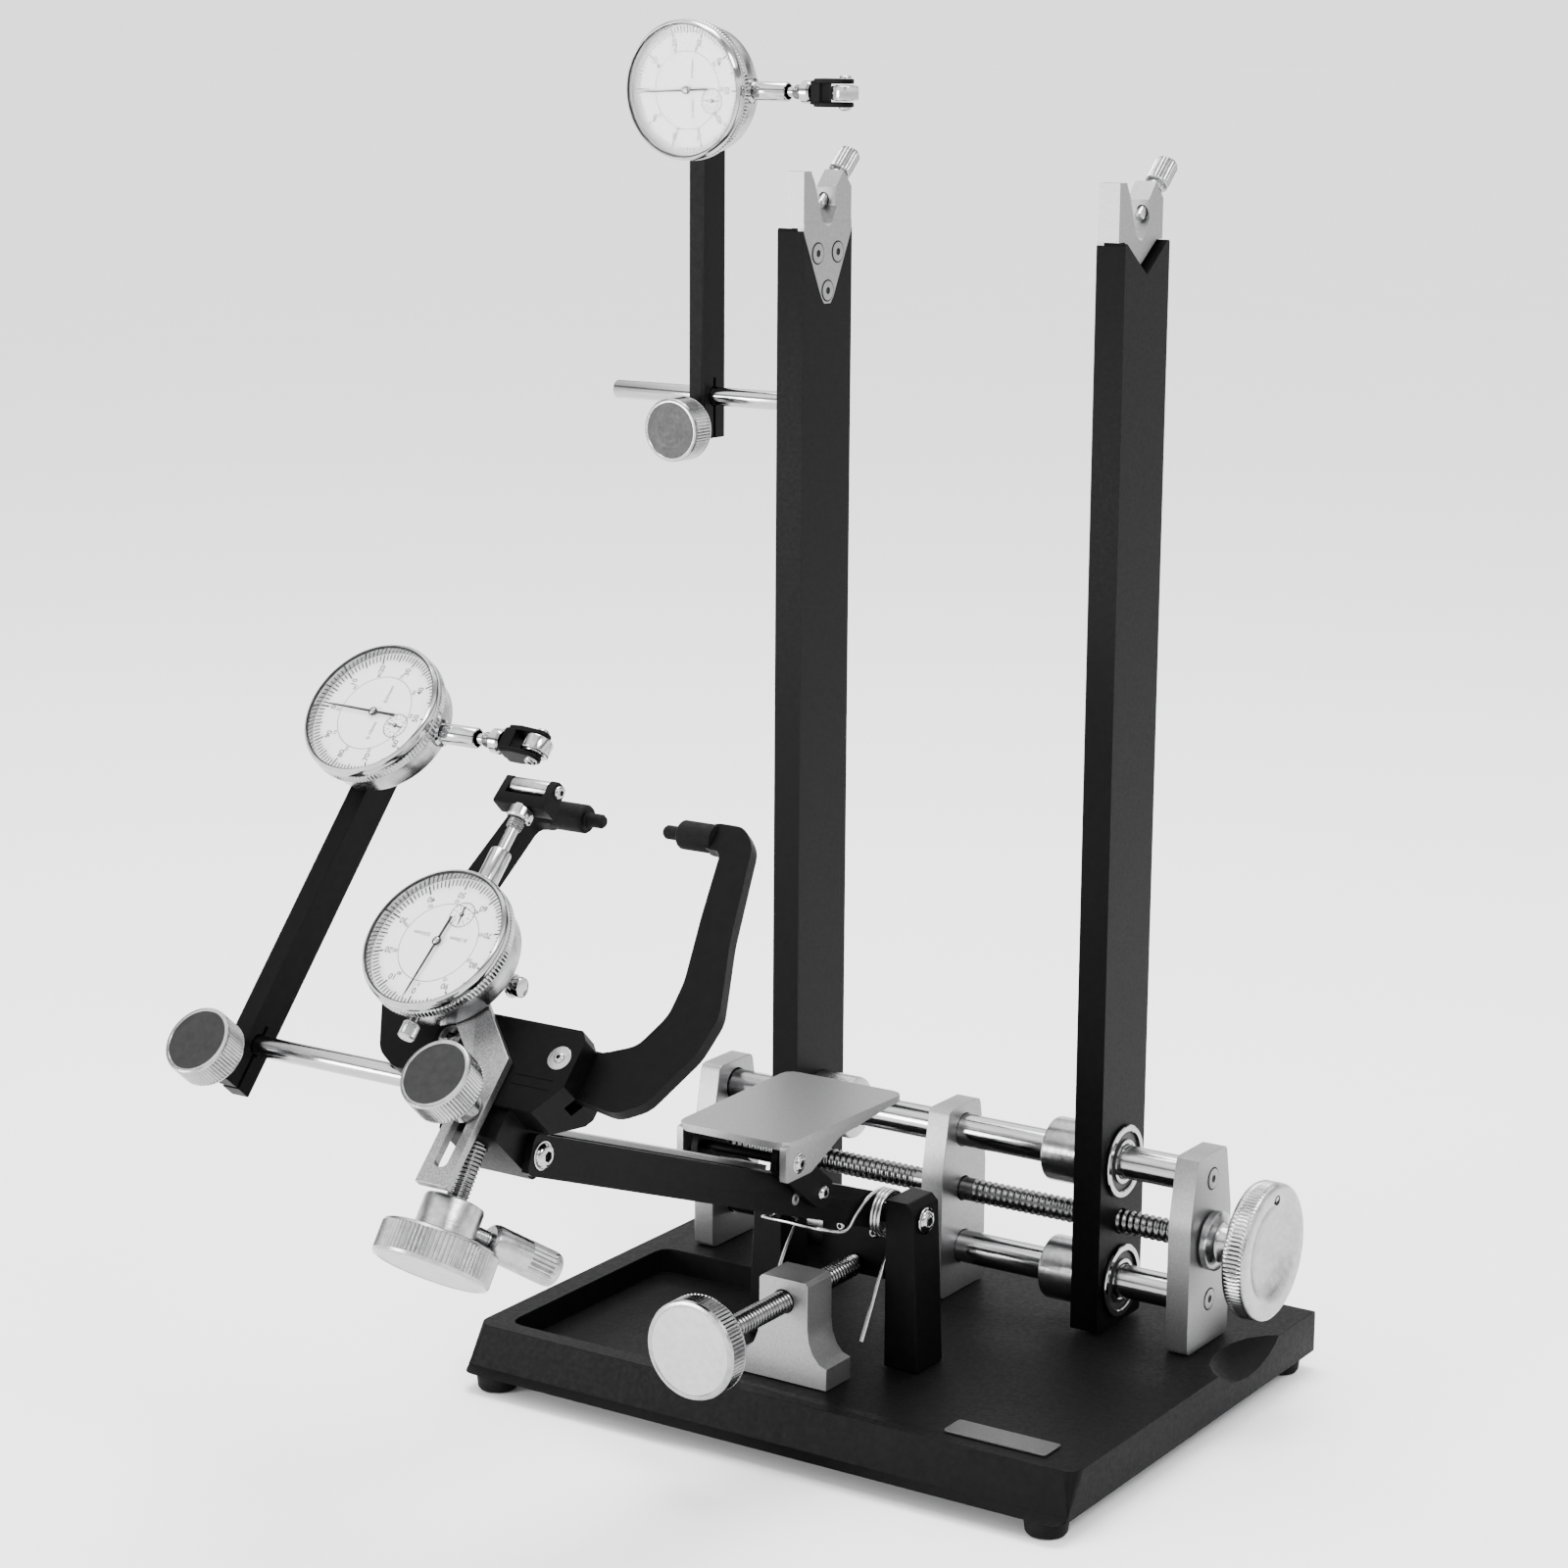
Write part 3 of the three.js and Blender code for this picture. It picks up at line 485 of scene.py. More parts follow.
# the dimple is a dark disc: painted shade in place of a hollow
turn("handwheel_dimple", [(0, 151.2), (1.5, 151.2), (1.5, 151.56), (2.1, 151.6), (2.1, 151.0), (0, 151.0)],
     along((0, 0.9, 67.8), (1, 0, 0)), "drive", SOCKET_SHADE, "satin_silver", segs=32)

# ---------- uprights ----------
for side, sx in (("right", 1), ("left", -1)):
    body = side + "_side"
    refine("upright_" + side, body, BLACK, 0.5, 3)
    refine("dropout_" + side, body, SILVER, 0.35, 2)
    for k, (y, z) in enumerate(((-7.6, 439.3), (7.6, 439.3), (0, 423.6))):
        flat_screw(f"dropout_screw_{side}_{k}", along((sx * 68.2, y, z), (-sx, 0, 0)), body, 4.2)
    st, ct = math.sin(rad(THUMB_LEAN)), math.cos(rad(THUMB_LEAN))
    rows = [(0, 0), (1.5, 0.1), (2.1, 0.8), (2.1, 16.2), (3.3, 16.2), (3.6, 16.6), (3.6, 17.8), (3.2, 18.4)]
    rows += [(4.5, 18.8), (4.8, 19.4)] + [(4.8, 19.8 + 0.5 * i, 1) for i in range(21)]
    rows += [(4.8, 30.0), (4.5, 30.7), (3.8, 31), (1.6, 31), (1.4, 30.5), (0, 30.4)]
    turn("thumb_" + side, rows, F((sx * THUMB_AT[0], *THUMB_AT[1:]), (1, 0, 0), (0, ct, -st), (0, st, ct)),
         side + "_thumbscrew", SPUN, "bright_steel", segs=160, knurl=(20, 0.6, 0),
         replaces=("thumbscrew_" + side,))
    for level, z in ROD_LEVELS:
        x0, x1 = 49.2, 81.3
        rows = [(7.35, x0 + 1.2), (8.3, x0 + 1.2), (8.3, x0 + 0.4), (8.8, x0), (12.6, x0), (13.3, x0 + 0.3),
                (13.6, x0 + 1), (13.6, x1), (14.9, x1), (15.4, x1 + 0.4), (15.4, x1 + 1.0),
                (15.0, x1 + 1.38), (12.9, x1 + 1.38), (12.5, x1 + 0.9), (12.5, x1 + 0.2), (9.2, x1 + 0.2),
                (9.2, x1 + 1.2), (7.9, x1 + 1.35), (7.35, x1 + 1.0)]
        zones = [1, 1, 0, 0, 0, 0, 0, 2, 2, 2, 2, 2, 2, 1, 1, 1, 2, 2, 0]
        turn(f"linear_bearing_{side}_{level}", rows, along((0, 0, z), (sx, 0, 0)), body, SPUN,
             "bright_steel", segs=96, zones=zones, mats=[SPUN, SEAL, CHROME],
             replaces=(f"bearing_{side}_{level}",))
rod("carrier_rod_1", CARRIER_R, -176, -73, along((0, 0, CARRIER_1_Z), (1, 0, 0)), "left_side", RODS,
    "bright_steel", segs=48, c=0.8, replaces=("rod_1",))

# ---------- posts, shaft, front screw ----------
for side, sx in (("right", 1), ("left", -1)):
    refine("post_" + side, "stand", BLACK, 0.6, 3)
    screw("shaft_screw_" + side, along((sx * 39.2, PIVOT_Y, PIVOT_Z), (sx, 0, 0)), "stand", 4.3, h=2.0,
          ring=5.6)
rod("arm_shaft", 4, -32.5, 32.5, along((0, PIVOT_Y, PIVOT_Z), (1, 0, 0)), "stand", RODS, "bright_steel",
    segs=40, replaces=("pivot_shaft",))
refine("screw_block", "stand", SILVER, 0.5, 3)


def knob_rows(r, z0, z1, c=1.4, dish=0.5, rim_w=1.5, step=0.9):
    n = int((z1 - z0 - 2 * c) / step)
    body = [(r - c, z0), (r - 0.3 * c, z0 + 0.3 * c), (r, z0 + c)]
    body += [(r, z0 + c + 0.1 + (z1 - z0 - 2 * c - 0.2) * i / n, 1) for i in range(n + 1)]
    body += [(r, z1 - c), (r - 0.3 * c, z1 - 0.3 * c), (r - c, z1), (r - c - rim_w * 0.4, z1),
             (r - c - rim_w * 0.6, z1 - 0.25)]
    return body


# the front screw's frame, z towards its knob
AXF = F((0, 0, 34), (1, 0, 0), (0, 0, 1), (0, -1, 0))
rows = [(0, 181), (8, 181), (8, 187.6), (9, 188)] + knob_rows(20, 188, 199)
turn("reach_knob", rows + [(0, 198.7)], AXF, "reach_screw", SPUN, "satin_silver", segs=300,
     knurl=(75, 0.5, 0), zones=[0] * (len(rows) - 1) + [1], mats=[SPUN, FACE_LIGHT],
     replaces=("front_screw",))
thread("reach_thread", 4.7, 79.8, 181.2, 2.0, 0.62, AXF, "reach_screw", "satin_silver")

# ---------- arm ----------
ca, sa = math.cos(rad(ARM_LEAN)), math.sin(rad(ARM_LEAN))
refine("arm_channel", "arm", BLACK, 0.45)
refine("pull_strip", "strip", SILVER, 0.25)
refine("lever_yoke", "arm", BLACK, 0.35)
refine("thumb_lever", "lever", SILVER, 0.55, 3)


def arm_point(y, z):
    """A point y along the arm from its pivot and z above its middle line."""
    return PIVOT_Y - y * ca + z * sa, PIVOT_Z + y * sa + z * ca


for side, sx in (("right", 1), ("left", -1)):
    out = (sx, 0, 0)
    screw("head_hinge_screw_" + side, along((sx * 15.9, HINGE_Y, HINGE_Z), out), "arm", 4.7, h=2.6, ring=5.3)
    py, pz = arm_point(83, 13.4)
    screw("lever_screw_" + side, along((sx * 25.4, py, pz), out), "lever", 3.2, h=1.9, ring=4.1)
    py, pz = arm_point(52, 3.6)
    screw("link_screw_" + side, along((sx * 19.9, py, pz), out), "arm", 3.1, h=1.9)
    py, pz = arm_point(64.5, -0.6)
    flat_screw("arm_screw_" + side, along((sx * 16.0, py, pz), out), "arm", 2.7)
for i, x in enumerate((-7, 9)):
    screw(f"heel_screw_{i}", along((x, -79.0, 49), (0, -1, 0)), "arm", 2.3, h=1.2)


# ---------- torsion spring ----------
def catmull(points, n=8):
    pts = [Vector(p) for p in points]
    pts = [2 * pts[0] - pts[1]] + pts + [2 * pts[-1] - pts[-2]]
    out = []
    for i in range(1, len(pts) - 2):
        a, b, c, d = pts[i - 1:i + 3]
        for k in range(n):
            t = k / n
            square, cube = 2 * a - 5 * b + 4 * c - d, 3 * b - a - 3 * c + d
            out.append(0.5 * ((2 * b) + (c - a) * t + square * t ** 2 + cube * t ** 3))
    out.append(pts[-2])
    return out


def wire(name, path, r, body, mat, slot, segs=12, replaces=()):
    verts, faces = [], []
    t = (path[1] - path[0]).normalized()
    u = t.orthogonal().normalized()
    for i, p in enumerate(path):
        t = (path[min(i + 1, len(path) - 1)] - path[max(i - 1, 0)]).normalized()
        u = (u - t * u.dot(t)).normalized()
        w = t.cross(u)
        for k in range(segs):
            a = 2 * math.pi * k / segs
            verts.append(tuple(p + r * (math.cos(a) * u + math.sin(a) * w)))
    n = len(path)
    for i in range(n - 1):
        for k in range(segs):
            j = (k + 1) % segs
            faces.append((i * segs + k, i * segs + j, (i + 1) * segs + j, (i + 1) * segs + k))
    faces.append(tuple(range(segs))[::-1])
    faces.append(tuple((n - 1) * segs + k for k in range(segs)))
    return put(name, verts, faces, F((0, 0, 0)), body, mat, slot, sharp=60, replaces=replaces)


def half_spring(side):
    """A long leg, the coils, and the wire down to the hook under the arm."""
    outer_x, coil_length, steps = 23.3, 5.6, 50
    pts = [(outer_x, -111, 15), (outer_x, -95, 42)]
    for i in range(steps + 1):
        a = rad(-30 + 360 * COIL_TURNS * i / steps)
        pts.append((outer_x - coil_length * i / steps, PIVOT_Y + COIL_R * math.cos(a),
                    PIVOT_Z + COIL_R * math.sin(a)))
    pts += [(17.2, -97, 71.0), (17.15, -106, 66.6), (17.1, -113.5, 61.6), (15.6, -121, 62.8),
            (12.5, -128, 65.6)]
    return [(side * x, y, z) for x, y, z in pts]


coil = half_spring(1) + [(0, -130, 66.6)] + half_spring(-1)[::-1]
spring = wire("spring_coils", catmull(coil, 5), WIRE_R, None, WIRE, "dark_steel",
              replaces=("torsion_spring",))
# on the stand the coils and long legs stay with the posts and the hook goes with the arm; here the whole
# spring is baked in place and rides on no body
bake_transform(spring)

# ---------- head ----------
HEAD = tilt(HEAD_AT, HEAD_LEAN)
refine("head_body", "head", BLACK, 0.6, 2)
for side, sx in (("right", 1), ("left", -1)):
    top = 12.35 if sx > 0 else 12.08
    turn("pivot_washer_" + side, [(0, 11.9)] + rounded_rim(4.6, 11.8, top, 0.1, 2) + [(0, top)],
         shifted(HEAD, sx * PIVOT_X, 0, 0), "head", SPUN, "bright_steel", segs=56)
    screw("pivot_screw_" + side, shifted(HEAD, sx * PIVOT_X, 0, top - 0.05), "head", 2.1,
          h=1.0 if sx > 0 else 0.15)
    ribs = HEAD if sx > 0 else shifted(HEAD, -35, 0, 0)
    for k, y in enumerate((-8.6, -12.4)):
        box(f"head_rib_{side}_{k}", 9.5, 25.5, y - 0.28, y + 0.28, 11.7, 12.22, ribs, "head", BLACK,
            "black_enamel", bevel=0.12)
    refine("caliper_" + side, side + "_caliper", BLACK, 0.5, 2, 32)
    tip = HEAD @ Matrix.Translation(Vector((0, 101, 0)) * MM) @ Matrix(
        [[0, 0, sx, 0], [0, 1, 0, 0], [-sx, 0, 0, 0], [0, 0, 0, 1]])
    turn("rubber_tip_" + side, [(0, 13.55), (1.9, 13.7), (2.6, 14.7), (2.6, 20.6), (3.2, 21.1), (4.9, 21.3),
                                (5.35, 22.0), (5.35, 35.4), (5.1, 35.9), (4.6, 36.1), (0, 36.1)], tip,
         side + "_caliper", RUBBER, "black_enamel", segs=56)
# frames of the adjusting knob: K at its hole, KY with z along its screw, HY with z along its grip
K = HEAD @ Matrix.Translation(Vector((0, -35.2, 1.6)) * MM) @ Matrix(
    [[1, 0, 0, 0], [0, 0.9886, -0.1504, 0], [0, 0.1504, 0.9886, 0], [0, 0, 0, 1]])
KY = K @ Matrix([[1, 0, 0, 0], [0, 0, -1, 0], [0, 1, 0, 0], [0, 0, 0, 1]])
rows = [(0, 19.3), (9.3, 19.5), (10.6, 20.0), (11, 21), (11, 33), (12, 33)] + knob_rows(21.4, 33, 45.8, 1.4)
turn("adjusting_disc", rows + [(0, 45.5)], KY, "adjusting_knob", SPUN, "satin_silver", segs=312,
     knurl=(78, 0.5, 0), zones=[0] * (len(rows) - 1) + [1], mats=[SPUN, FACE_LIGHT], replaces=("head_knob",))
thread("adjusting_thread", 4.0, -13, 19.6, 1.5, 0.5, KY, "adjusting_knob", "satin_silver")
HY = K @ Matrix.Translation(Vector((0, -27, 0)) * MM) @ Matrix.Rotation(rad(155), 4, "Y")
grip = [(0, 17.3), (5.2, 17.5), (6.1, 18.2), (6.5, 19.4), (6.5, 33)]
grip += [(6.5, 33.4 + 0.8 * i, 1) for i in range(13)]
grip += [(6.5, 43.6), (6.5, 44.9), (6.1, 46.0), (5.2, 46.5), (0, 46.5)]
turn("crank_grip", grip, HY, "adjusting_knob", SPUN, "satin_silver", segs=160, knurl=(20, 0.7, 0))
thread("crank_stem", 3.0, 8.5, 17.6, 1.2, 0.4, HY, "adjusting_knob", "satin_silver", mat=SPUN)
refine("bracket_3", "gauge_bracket_3", CAST, 0.3, 2)
rod("carrier_rod_2", CARRIER_R, -129.5, -21.5, along((0, CARRIER_2_Y, CARRIER_2_Z), (1, 0, 0)), "head", RODS,
    "bright_steel", segs=48, c=0.8, replaces=("rod_2",))

# ---------- clamp knobs and bars ----------
BAR1 = F((-129, 0, CARRIER_1_Z), (1, 0, 0), (0, 0, 1), (0, -1, 0))
BAR2 = tilt((-124.1, CARRIER_2_Y, CARRIER_2_Z), BAR_2_LEAN)


def clamp_knob(i, M, body, z0, z1, stem, bolt_r, bolt_from):
    rows = [(0, bolt_from), (bolt_r, bolt_from + 0.3), (bolt_r, stem), (5.6, stem), (6, stem + 0.4)]
    rows += [(6, z0 - 2.2), (6.4, z0 - 1.4), (8, z0), (9, z0)] + knob_rows(13.5, z0, z1, 1.1, rim_w=1.0)
    turn(f"clamp_knob_{i}", rows + [(0, z1 - 0.4)], M, body, SPUN, "satin_silver", segs=256,
         knurl=(64, 0.42, 0), zones=[0] * (len(rows) - 1) + [1], mats=[SPUN, FACE_DARK],
         replaces=(f"knob_{i}",))


clamp_knob(1, shifted(BAR1, 0, -12.5, 0), "clamp_knob_1", 15.5, 27.5, 7.8, 2.5, -7.5)
clamp_knob(2, shifted(BAR2, 0, -12.5, 0), "clamp_knob_2", 15.5, 27.5, 7.8, 2.5, -7.5)
clamp_knob(3, shifted(HEAD, 0, -27, 0), "clamp_knob_3", 28.5, 40.5, 16.1, 2.4, 8)
refine("bar_1", "gauge_bar_1", BLACK, 0.35)
refine("bar_2", "gauge_bar_2", BLACK, 0.35)


# ---------- dial indicators ----------
def text_parts(s, size):
    c = bpy.data.curves.new("t", "FONT")
    c.body, c.size, c.align_x, c.align_y = s, size, "CENTER", "CENTER"
    c.resolution_u, c.offset = 4, 0.018 * size
    o = bpy.data.objects.new("t", c)
    bpy.context.scene.collection.objects.link(o)
    me = bpy.data.meshes.new_from_object(o.evaluated_get(bpy.context.evaluated_depsgraph_get()))
    v, f = [tuple(p.co) for p in me.vertices], [tuple(p.vertices) for p in me.polygons]
    bpy.data.objects.remove(o)
    bpy.data.meshes.remove(me)
    return v, f


GLYPHS = {}


def glyph(s, size):
    if (s, size) not in GLYPHS:
        GLYPHS[(s, size)] = text_parts(s, size)
    return GLYPHS[(s, size)]


class Ink:
    """Thin marks laid on a dial face at height z."""
    def __init__(self, z):
        self.v, self.f, self.z = [], [], z

    def add(self, v, f):
        k = len(self.v)
        self.v += [(x, y, self.z) for x, y in v]
        self.f += [tuple(i + k for i in q) for q in f]

    def tick(self, a, r0, r1, w, c=(0, 0)):
        ux, uy = math.cos(a), math.sin(a)
        self.add([(c[0] + ux * r - uy * s * w / 2, c[1] + uy * r + ux * s * w / 2) for r, s in
                  ((r0, -1), (r1, -1), (r1, 1), (r0, 1))], [(0, 1, 2, 3)])

    def ring(self, r, w, c=(0, 0), n=96):
        v = [(c[0] + q * math.cos(2 * math.pi * i / n), c[1] + q * math.sin(2 * math.pi * i / n))
             for i in range(n) for q in (r - w / 2, r + w / 2)]
        self.add(v, [(2 * i, 2 * i + 1, (2 * i + 3) % (2 * n), (2 * i + 2) % (2 * n)) for i in range(n)])

    def word(self, s, size, x, y, turn):
        v, f = glyph(s, size)
        ct, st = math.cos(turn), math.sin(turn)
        self.add([(x + ct * a - st * b, y + st * a + ct * b) for a, b, _ in v], f)


def needle(name, a, tail, length, w, z, hub, M, body, mat, slot, **k):
    v = []
    outline = ((-tail, w), (length * 0.85, w * 0.55), (length, 0.05), (length, -0.05),
               (length * 0.85, -w * 0.55), (-tail, -w))
    for zz in (z, z + 0.25):
        for (r, s) in outline:
            v.append((math.cos(a) * r - math.sin(a) * s, math.sin(a) * r + math.cos(a) * s, zz))
    f = [(5, 4, 3, 2, 1, 0), (6, 7, 8, 9, 10, 11)]
    f += [(i, (i + 1) % 6, (i + 1) % 6 + 6, i + 6) for i in range(6)]
    hv, hf, _ = lathe([(0, z - 0.1), (hub, z - 0.1), (hub, z + 0.5), (hub * 0.7, z + 0.7), (0, z + 0.75)],
                      32)
    n = len(v)
    return put(name, v + hv, f + [tuple(i + n for i in q) for q in hf], M, body, mat, slot, **k)


def prism(name, outline, y0, y1, M, body, mat, slot, bevel=0.4, segs=2, **k):
    """Outline in the local xz plane, drawn from y0 to y1."""
    n = len(outline)
    v = [(x, y, z) for y in (y0, y1) for x, z in outline]
    f = [tuple(range(n))[::-1], tuple(range(n, 2 * n))]
    f += [(i, (i + 1) % n, (i + 1) % n + n, i + n) for i in range(n)]
    o = put(name, v, f, M, body, mat, slot, **k)
    add_bevel(o, bevel, segs, 40)
    return o


def fork(name, P, body, node):
    """Tapered fork: a neck, a back web and two cheeks with round ends."""
    arc = [(ROLLER_X + 3.6 * math.cos(rad(t)), 3.6 * math.sin(rad(t))) for t in range(-90, 91, 15)]
    cheek = [(59.2, -4.4), (65.0, -4.9)] + arc + [(65.0, 4.9), (59.2, 4.4)]
    for s, tag in ((-1, "a"), (1, "b")):
        lo, hi = (3.7, 5.7) if s > 0 else (-5.7, -3.7)
        prism(f"{name}_cheek_{tag}", cheek, lo, hi, P, body, BLACK, "dark_steel", 0.5)
    web = [(56.9, -3.9), (62.8, -4.6), (62.8, 4.6), (56.9, 3.9)]
    prism(name + "_web", web, -4.9, 4.9, P, body, BLACK, "dark_steel", 1.1, 3, replaces=(node,))


def dial(i, M, body, hand_deg, sub_deg, wide):
    """An indicator with its face at z 0 of M and its stem along x. wide is the one with a long roller."""
    tag = f"dial_{i}"
    # the bodies of the parts that move
    bez, hand, plun, roll = (f"gauge_{i}_{p}" for p in ("bezel", "hand", "plunger", "roller"))
    back = [(0, -21.3), (17.6, -21.3), (18.6, -21.0), (19, -20.4), (19, -18.6)] if not wide else [(0, -18.5)]
    rows = back + [(25.2, -18.5), (26.1, -18.2), (26.5, -17.4), (26.5, -9.0), (26.2, -8.5), (0, -8.4)]
    turn(tag + "_body", rows, M, body, SPUN, "satin_silver", segs=128, replaces=(f"dial_{i}_case",))
    # z of this frame runs along the stem
    SX = M @ Matrix.Translation(Vector((0, 0, STEM_DEPTH)) * MM) @ Matrix.Rotation(rad(90), 4, "Y")
    turn(tag + "_stem", [(3.2, 25.5), (5.2, 25.5), (5.2, 27.6), (4.0, 28.2), (4.0, 43.8), (3.7, 44.3),
                         (3.2, 44.4)], SX, body, CHROME, "bright_steel", segs=56)
    # bezel: polished front ring, cut grip at the back
    rows = [(24.6, -7.9), (27.8, -7.9), (28.6, -7.7)] + [(BEZEL_R, -7.5 + 0.3 * k, 1) for k in range(9)]
    rows += [(28.6, -4.7), (28.5, -4.2), (28.8, -3.6), (28.9, -2.6), (28.7, -1.4), (28.2, -0.5),
             (27.7, -0.05), (27.4, -0.1), (27.3, -0.5), (27.2, -0.9), (26.7, -0.9), (26.6, -4.7),
             (24.6, -4.95)]
    zones = [0] * len(rows)
    zones[-5] = zones[-4] = 1
    turn(tag + "_ring", rows, M, bez, CHROME, "bright_steel", segs=720, knurl=(120, 0.45, 0), zones=zones,
         mats=[CHROME, SEAL], replaces=(f"dial_{i}_bezel",))
    turn(tag + "_scale", [(0, -4.9), (26.9, -4.9), (26.9, -4.45), (0, -4.45)], M, bez, DIALFACE, "dial_face",
         segs=128)
    ink = Ink(-4.42)
    up = math.pi / 2
    for k in range(100):
        a = math.pi - 2 * math.pi * k / 100
        big, mid5 = k % 10 == 0, k % 5 == 0
        ink.tick(a, 22.2 if big else 22.9 if mid5 else 23.6, 26.3, 0.66 if big else 0.6 if mid5 else 0.52)
        if big:
            ink.word(str(k), 3.3, 20.0 * math.cos(a), 20.0 * math.sin(a), up)
            ink.word(str((100 - k) % 100), 2.1, 17.3 * math.cos(a + 0.04), 17.3 * math.sin(a + 0.04), up)
    ink.ring(16.0, 0.26)
    sub = (12.3, -4.2)
    ink.ring(5.1, 0.32, sub)
    for k in range(20):
        ink.tick(math.pi - 2 * math.pi * k / 20, 4.3 if k % 2 else 3.9, 5.1, 0.26, sub)
    for k in range(10):
        a = math.pi - 2 * math.pi * k / 10
        ink.word(str(k), 1.3, sub[0] + 3.0 * math.cos(a), sub[1] + 3.0 * math.sin(a), up)
    ink.word("0.01mm", 2.3, 2.6, 8.6, up)
    ink.word("0-10mm", 2.3, 2.6, -7.6, up)
    put(tag + "_marks", ink.v, ink.f, M, bez, INK, "hand_black")
    turn(tag + "_crystal", [(0, -0.75), (26.9, -1.2), (27.0, -0.8), (14, -0.4), (0, -0.3)], M, bez, GLASS,
         "dial_face", segs=96)
    needle(tag + "_pointer", rad(hand_deg), 10.6, 24.2, 0.55, -3.4, 1.75, M, hand, INK, "hand_black",
           replaces=(f"dial_{i}_hand",))
    turn(tag + "_hub", [(0, -2.9), (1.35, -2.9), (1.3, -2.5), (0.9, -2.2), (0, -2.1)], M, hand, CHROME,
         "bright_steel", segs=32)
    needle(tag + "_counter", rad(sub_deg), 3.2, 4.2, 0.25, -4.2, 0.8, shifted(M, sub[0], sub[1], 0), bez,
           INK, "hand_black")
    turn(tag + "_pin", [(0, -3.6), (0.55, -3.6), (0.5, -3.3), (0, -3.15)], shifted(M, sub[0], sub[1], 0),
         bez, CHROME, "bright_steel", segs=24)
    # plunger, sleeve and fork
    reach = 58.5 if wide else 52
    turn(tag + "_spindle", [(0, 20), (2.1, 20), (2.1, reach - 0.6), (4.1, reach - 0.4), (4.8, reach + 0.4),
                            (4.9, reach + 3.6), (4.3, reach + 4.6), (0, reach + 4.9)], SX, plun, CHROME,
         "bright_steel", segs=48)
    thread(tag + "_contact_thread", 3.0, reach - 4.5, reach - 0.2, 0.9, 0.35, SX, plun, "dark_steel",
           mat=THREAD)
    # the fork's half width, and the roller's half length and radius
    w, half, rr = (11.5, 8.2, 3.6) if wide else (5.7, 3.2, 5.6)
    P = shifted(M, 0, 0, STEM_DEPTH)
    if wide:
        refine(f"dial_{i}_plunger", plun, BLACK, 0.35)
    else:
        fork(f"dial_{i}_fork", P, plun, f"dial_{i}_plunger")
    RY = P @ Matrix.Translation(Vector((ROLLER_X, 0, 0)) * MM) @ Matrix.Rotation(rad(-90), 4, "X")
    if wide:
        rows = [(1.35, -half)] + rounded_rim(rr, -half, half, 0.4, 2) + [(1.35, half)]
    else:
        rows = [(1.35, -half), (3.9, -half), (4.1, -half + 0.3), (4.3, -half + 0.3)]
        rows += rounded_rim(rr, -half + 0.3, half - 0.3, 0.6, 3)
        rows += [(4.3, half - 0.3), (4.1, half - 0.3), (3.9, half), (1.35, half)]
    turn(tag + "_wheel", rows, RY, roll, SPUN if wide else CHROME, "bright_steel", segs=72,
         replaces=(f"dial_{i}_roller",))
    for s in (-1, 1):
        RS = shifted(P, ROLLER_X, s * (w - 0.05), 0) @ Matrix.Rotation(rad(-90 * s), 4, "X")
        screw(f"{tag}_axle_{'ab'[s > 0]}", RS, plun, 2.6, h=1.5)


D1 = F((-122, -29.5, 505), (1, 0, 0), (0, 0, 1), (0, -1, 0))
D2 = BAR2 @ Matrix.Translation(Vector((6.3, 131, 29.5)) * MM)
D3 = HEAD @ Matrix.Translation(Vector((-32.9, 26.4, 35)) * MM) @ Matrix.Rotation(rad(90), 4, "Z")
dial(1, D1, "gauge_bar_1", 183, 178, False)
dial(2, D2, "gauge_bar_2", 178, 170, False)
dial(3, D3, "gauge_bracket_3", 174, 185, True)

# bezel lock screw of the third indicator
LK = D3 @ Matrix.Translation(Vector((0, 0, -12)) * MM) @ Matrix.Rotation(rad(-90), 4, "Y")
rows = [(0, 25.5), (1.6, 25.5), (1.6, 29.0), (2.6, 29.2), (3.2, 29.8)]
rows += [(3.2, 30.0 + 0.5 * i, 1) for i in range(10)] + [(3.2, 34.8), (2.7, 35.3), (0, 35.4)]
turn("lock_screw", rows, LK, "gauge_bracket_3", SPUN, "bright_steel", segs=96, knurl=(24, 0.35, 0))

LB = HEAD @ Matrix.Translation(Vector((-16, 27.5, 4)) * MM) @ Matrix.Rotation(rad(90), 4, "Y")
turn("lug_bolt", [(0, -8), (2.4, -8), (2.4, 0.2), (4.2, 0.2), (4.4, 0.6), (4.4, 1.4), (3.6, 1.6), (3.7, 2.0),
                  (3.9, 4.6), (3.6, 5.3), (2.8, 5.6), (0, 5.7)], LB, "gauge_bracket_3", CHROME,
     "bright_steel", segs=48)

# ---------- stage, camera, light ----------
def flat_material(name, colour, rough):
    return material(name, tuple(c * 0.985 for c in colour), colour, 0.0, rough, rough + 0.06, 3, 0.02, 60)


floor_me = bpy.data.meshes.new("floor")
FLOOR_HALF, FLOOR_Z = 30, -0.0002
corners = [(x * FLOOR_HALF, y * FLOOR_HALF, FLOOR_Z) for x, y in ((-1, -1), (1, -1), (1, 1), (-1, 1))]
floor_me.from_pydata(corners, [], [(0, 1, 2, 3)])
floor_me.materials.append(flat_material("pale_floor", (0.92, 0.92, 0.92), 0.7))
floor = bpy.data.objects.new("floor", floor_me)
bpy.context.scene.collection.objects.link(floor)

cam_data = bpy.data.cameras.new("camera")
cam_data.lens, cam_data.sensor_width = 83.02, 36
cam_data.clip_start, cam_data.clip_end = 0.05, 200
cam = bpy.data.objects.new("camera", cam_data)
bpy.context.scene.collection.objects.link(cam)
CAMERA_AT = (0.7590, -1.1229, 0.5671)
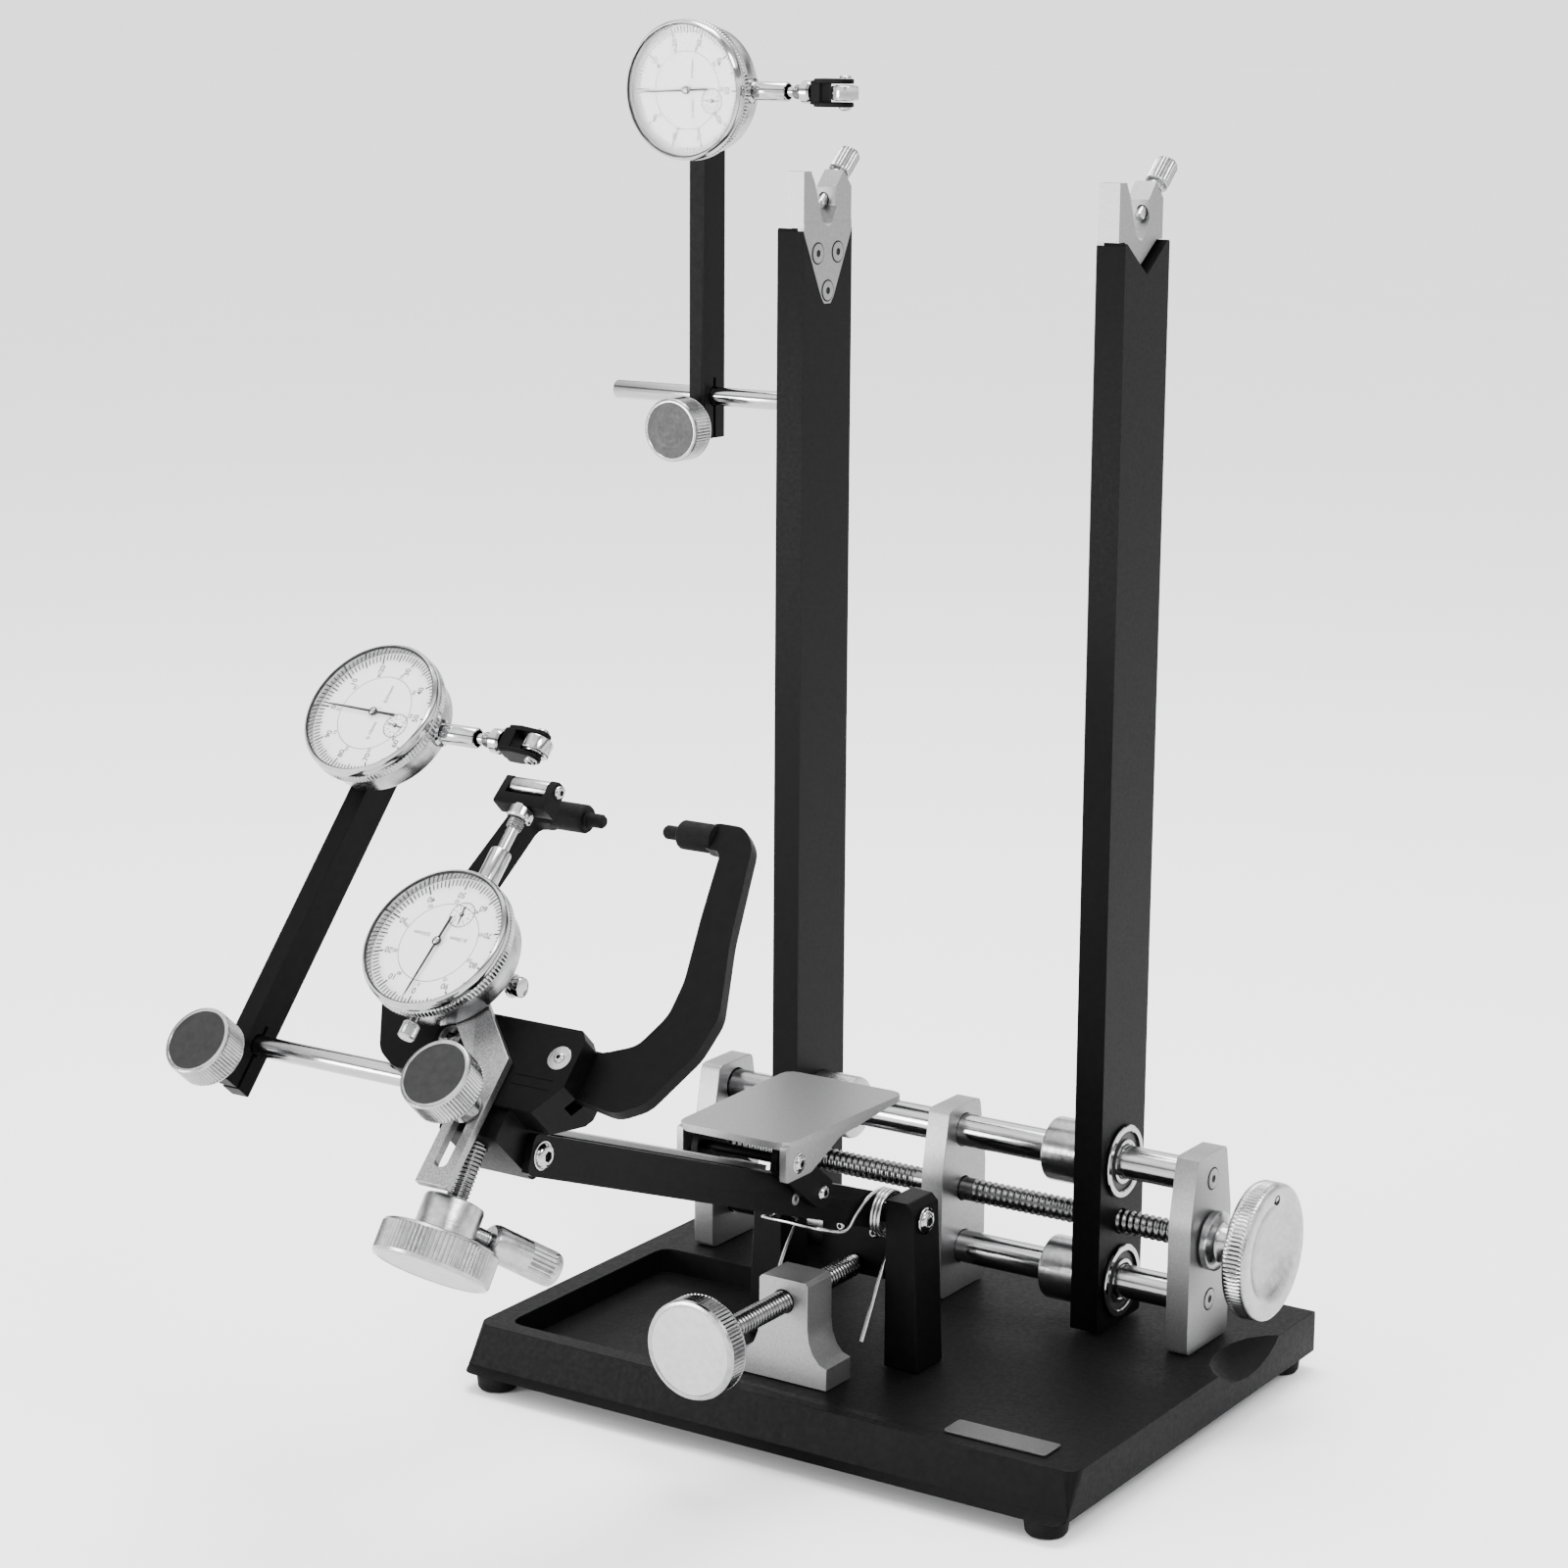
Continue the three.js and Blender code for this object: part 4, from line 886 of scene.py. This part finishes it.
# the angles of the photograph's camera
az, el, roll = rad(33.167), rad(12.209), rad(0.386)
back = Vector((math.sin(az) * math.cos(el), -math.cos(az) * math.cos(el), math.sin(el)))
right = Vector((math.cos(az), math.sin(az), 0))
up = back.cross(right)
c, s = math.cos(roll), math.sin(roll)
rx, ry = c * right + s * up, -s * right + c * up
cam.matrix_world = Matrix([[rx[i], ry[i], back[i], CAMERA_AT[i]] for i in range(3)] + [[0, 0, 0, 1]])
bpy.context.scene.camera = cam

world = bpy.data.worlds.new("studio")
bpy.context.scene.world = world
world.use_nodes = True
wn = world.node_tree
wn.nodes.clear()
wo, bg = wn.nodes.new("ShaderNodeOutputWorld"), wn.nodes.new("ShaderNodeBackground")
tc, sep = wn.nodes.new("ShaderNodeTexCoord"), wn.nodes.new("ShaderNodeSeparateXYZ")
ramp, band = wn.nodes.new("ShaderNodeValToRGB"), wn.nodes.new("ShaderNodeValToRGB")
lift, mix = wn.nodes.new("ShaderNodeMapRange"), wn.nodes.new("ShaderNodeMix")
wn.links.new(tc.outputs["Generated"], sep.inputs["Vector"])
wn.links.new(sep.outputs["Z"], ramp.inputs["Fac"])


def stops(r, *rows):
    """Set a colour ramp to greys, given as (position, value)."""
    e = r.color_ramp.elements
    while len(e) < len(rows):
        e.new(0.5)
    for el, (pos, v) in zip(e, rows):
        el.position, el.color = pos, (v, v, v * 1.005, 1)


# a pale studio with darker gaps between its soft boxes
stops(ramp, (0.0, 0.60), (0.10, 0.88), (0.22, 1.0), (0.30, 0.22), (0.46, 0.16), (0.52, 1.0), (0.80, 1.1),
      (0.92, 0.7))
half = wn.nodes.new("ShaderNodeMapRange")
half.inputs["From Min"].default_value, half.inputs["From Max"].default_value = -1, 1
wn.links.new(sep.outputs["X"], half.inputs["Value"])
wn.links.new(half.outputs["Result"], band.inputs["Fac"])
stops(band, (0.0, 0.9), (0.10, 0.35), (0.2, 1.0), (0.60, 1.0), (0.68, 0.35), (0.78, 0.35), (0.86, 1.0))
lift.inputs["From Min"].default_value, lift.inputs["From Max"].default_value = 0.05, 0.20
wn.links.new(sep.outputs["Z"], lift.inputs["Value"])
mix.data_type, mix.blend_type = "RGBA", "MULTIPLY"
wn.links.new(lift.outputs["Result"], mix.inputs["Factor"])
wn.links.new(ramp.outputs["Color"], mix.inputs[6])
wn.links.new(band.outputs["Color"], mix.inputs[7])
wn.links.new(mix.outputs[2], bg.inputs["Color"])
bg.inputs["Strength"].default_value = 3.3
wn.links.new(bg.outputs["Background"], wo.inputs["Surface"])


def area(name, where, at, size, energy, size_y=None):
    """A soft box at where, in metres, that looks at at."""
    d = bpy.data.lights.new(name, "AREA")
    d.energy, d.size, d.shape = energy, size, "RECTANGLE"
    d.size_y = size_y or size
    o = bpy.data.objects.new(name, d)
    bpy.context.scene.collection.objects.link(o)
    o.location = where
    o.rotation_mode = "QUATERNION"
    o.rotation_quaternion = (Vector(at) - Vector(where)).to_track_quat("-Z", "Y")
    return o


area("key", (1.5, -0.7, 1.9), (0, 0, 0.25), 0.7, 40)
area("top", (-0.2, 0.3, 2.2), (0, 0, 0.2), 1.0, 70)
area("left", (-1.3, -1.9, 0.42), (0, -0.05, 0.25), 0.8, 55, 0.6)
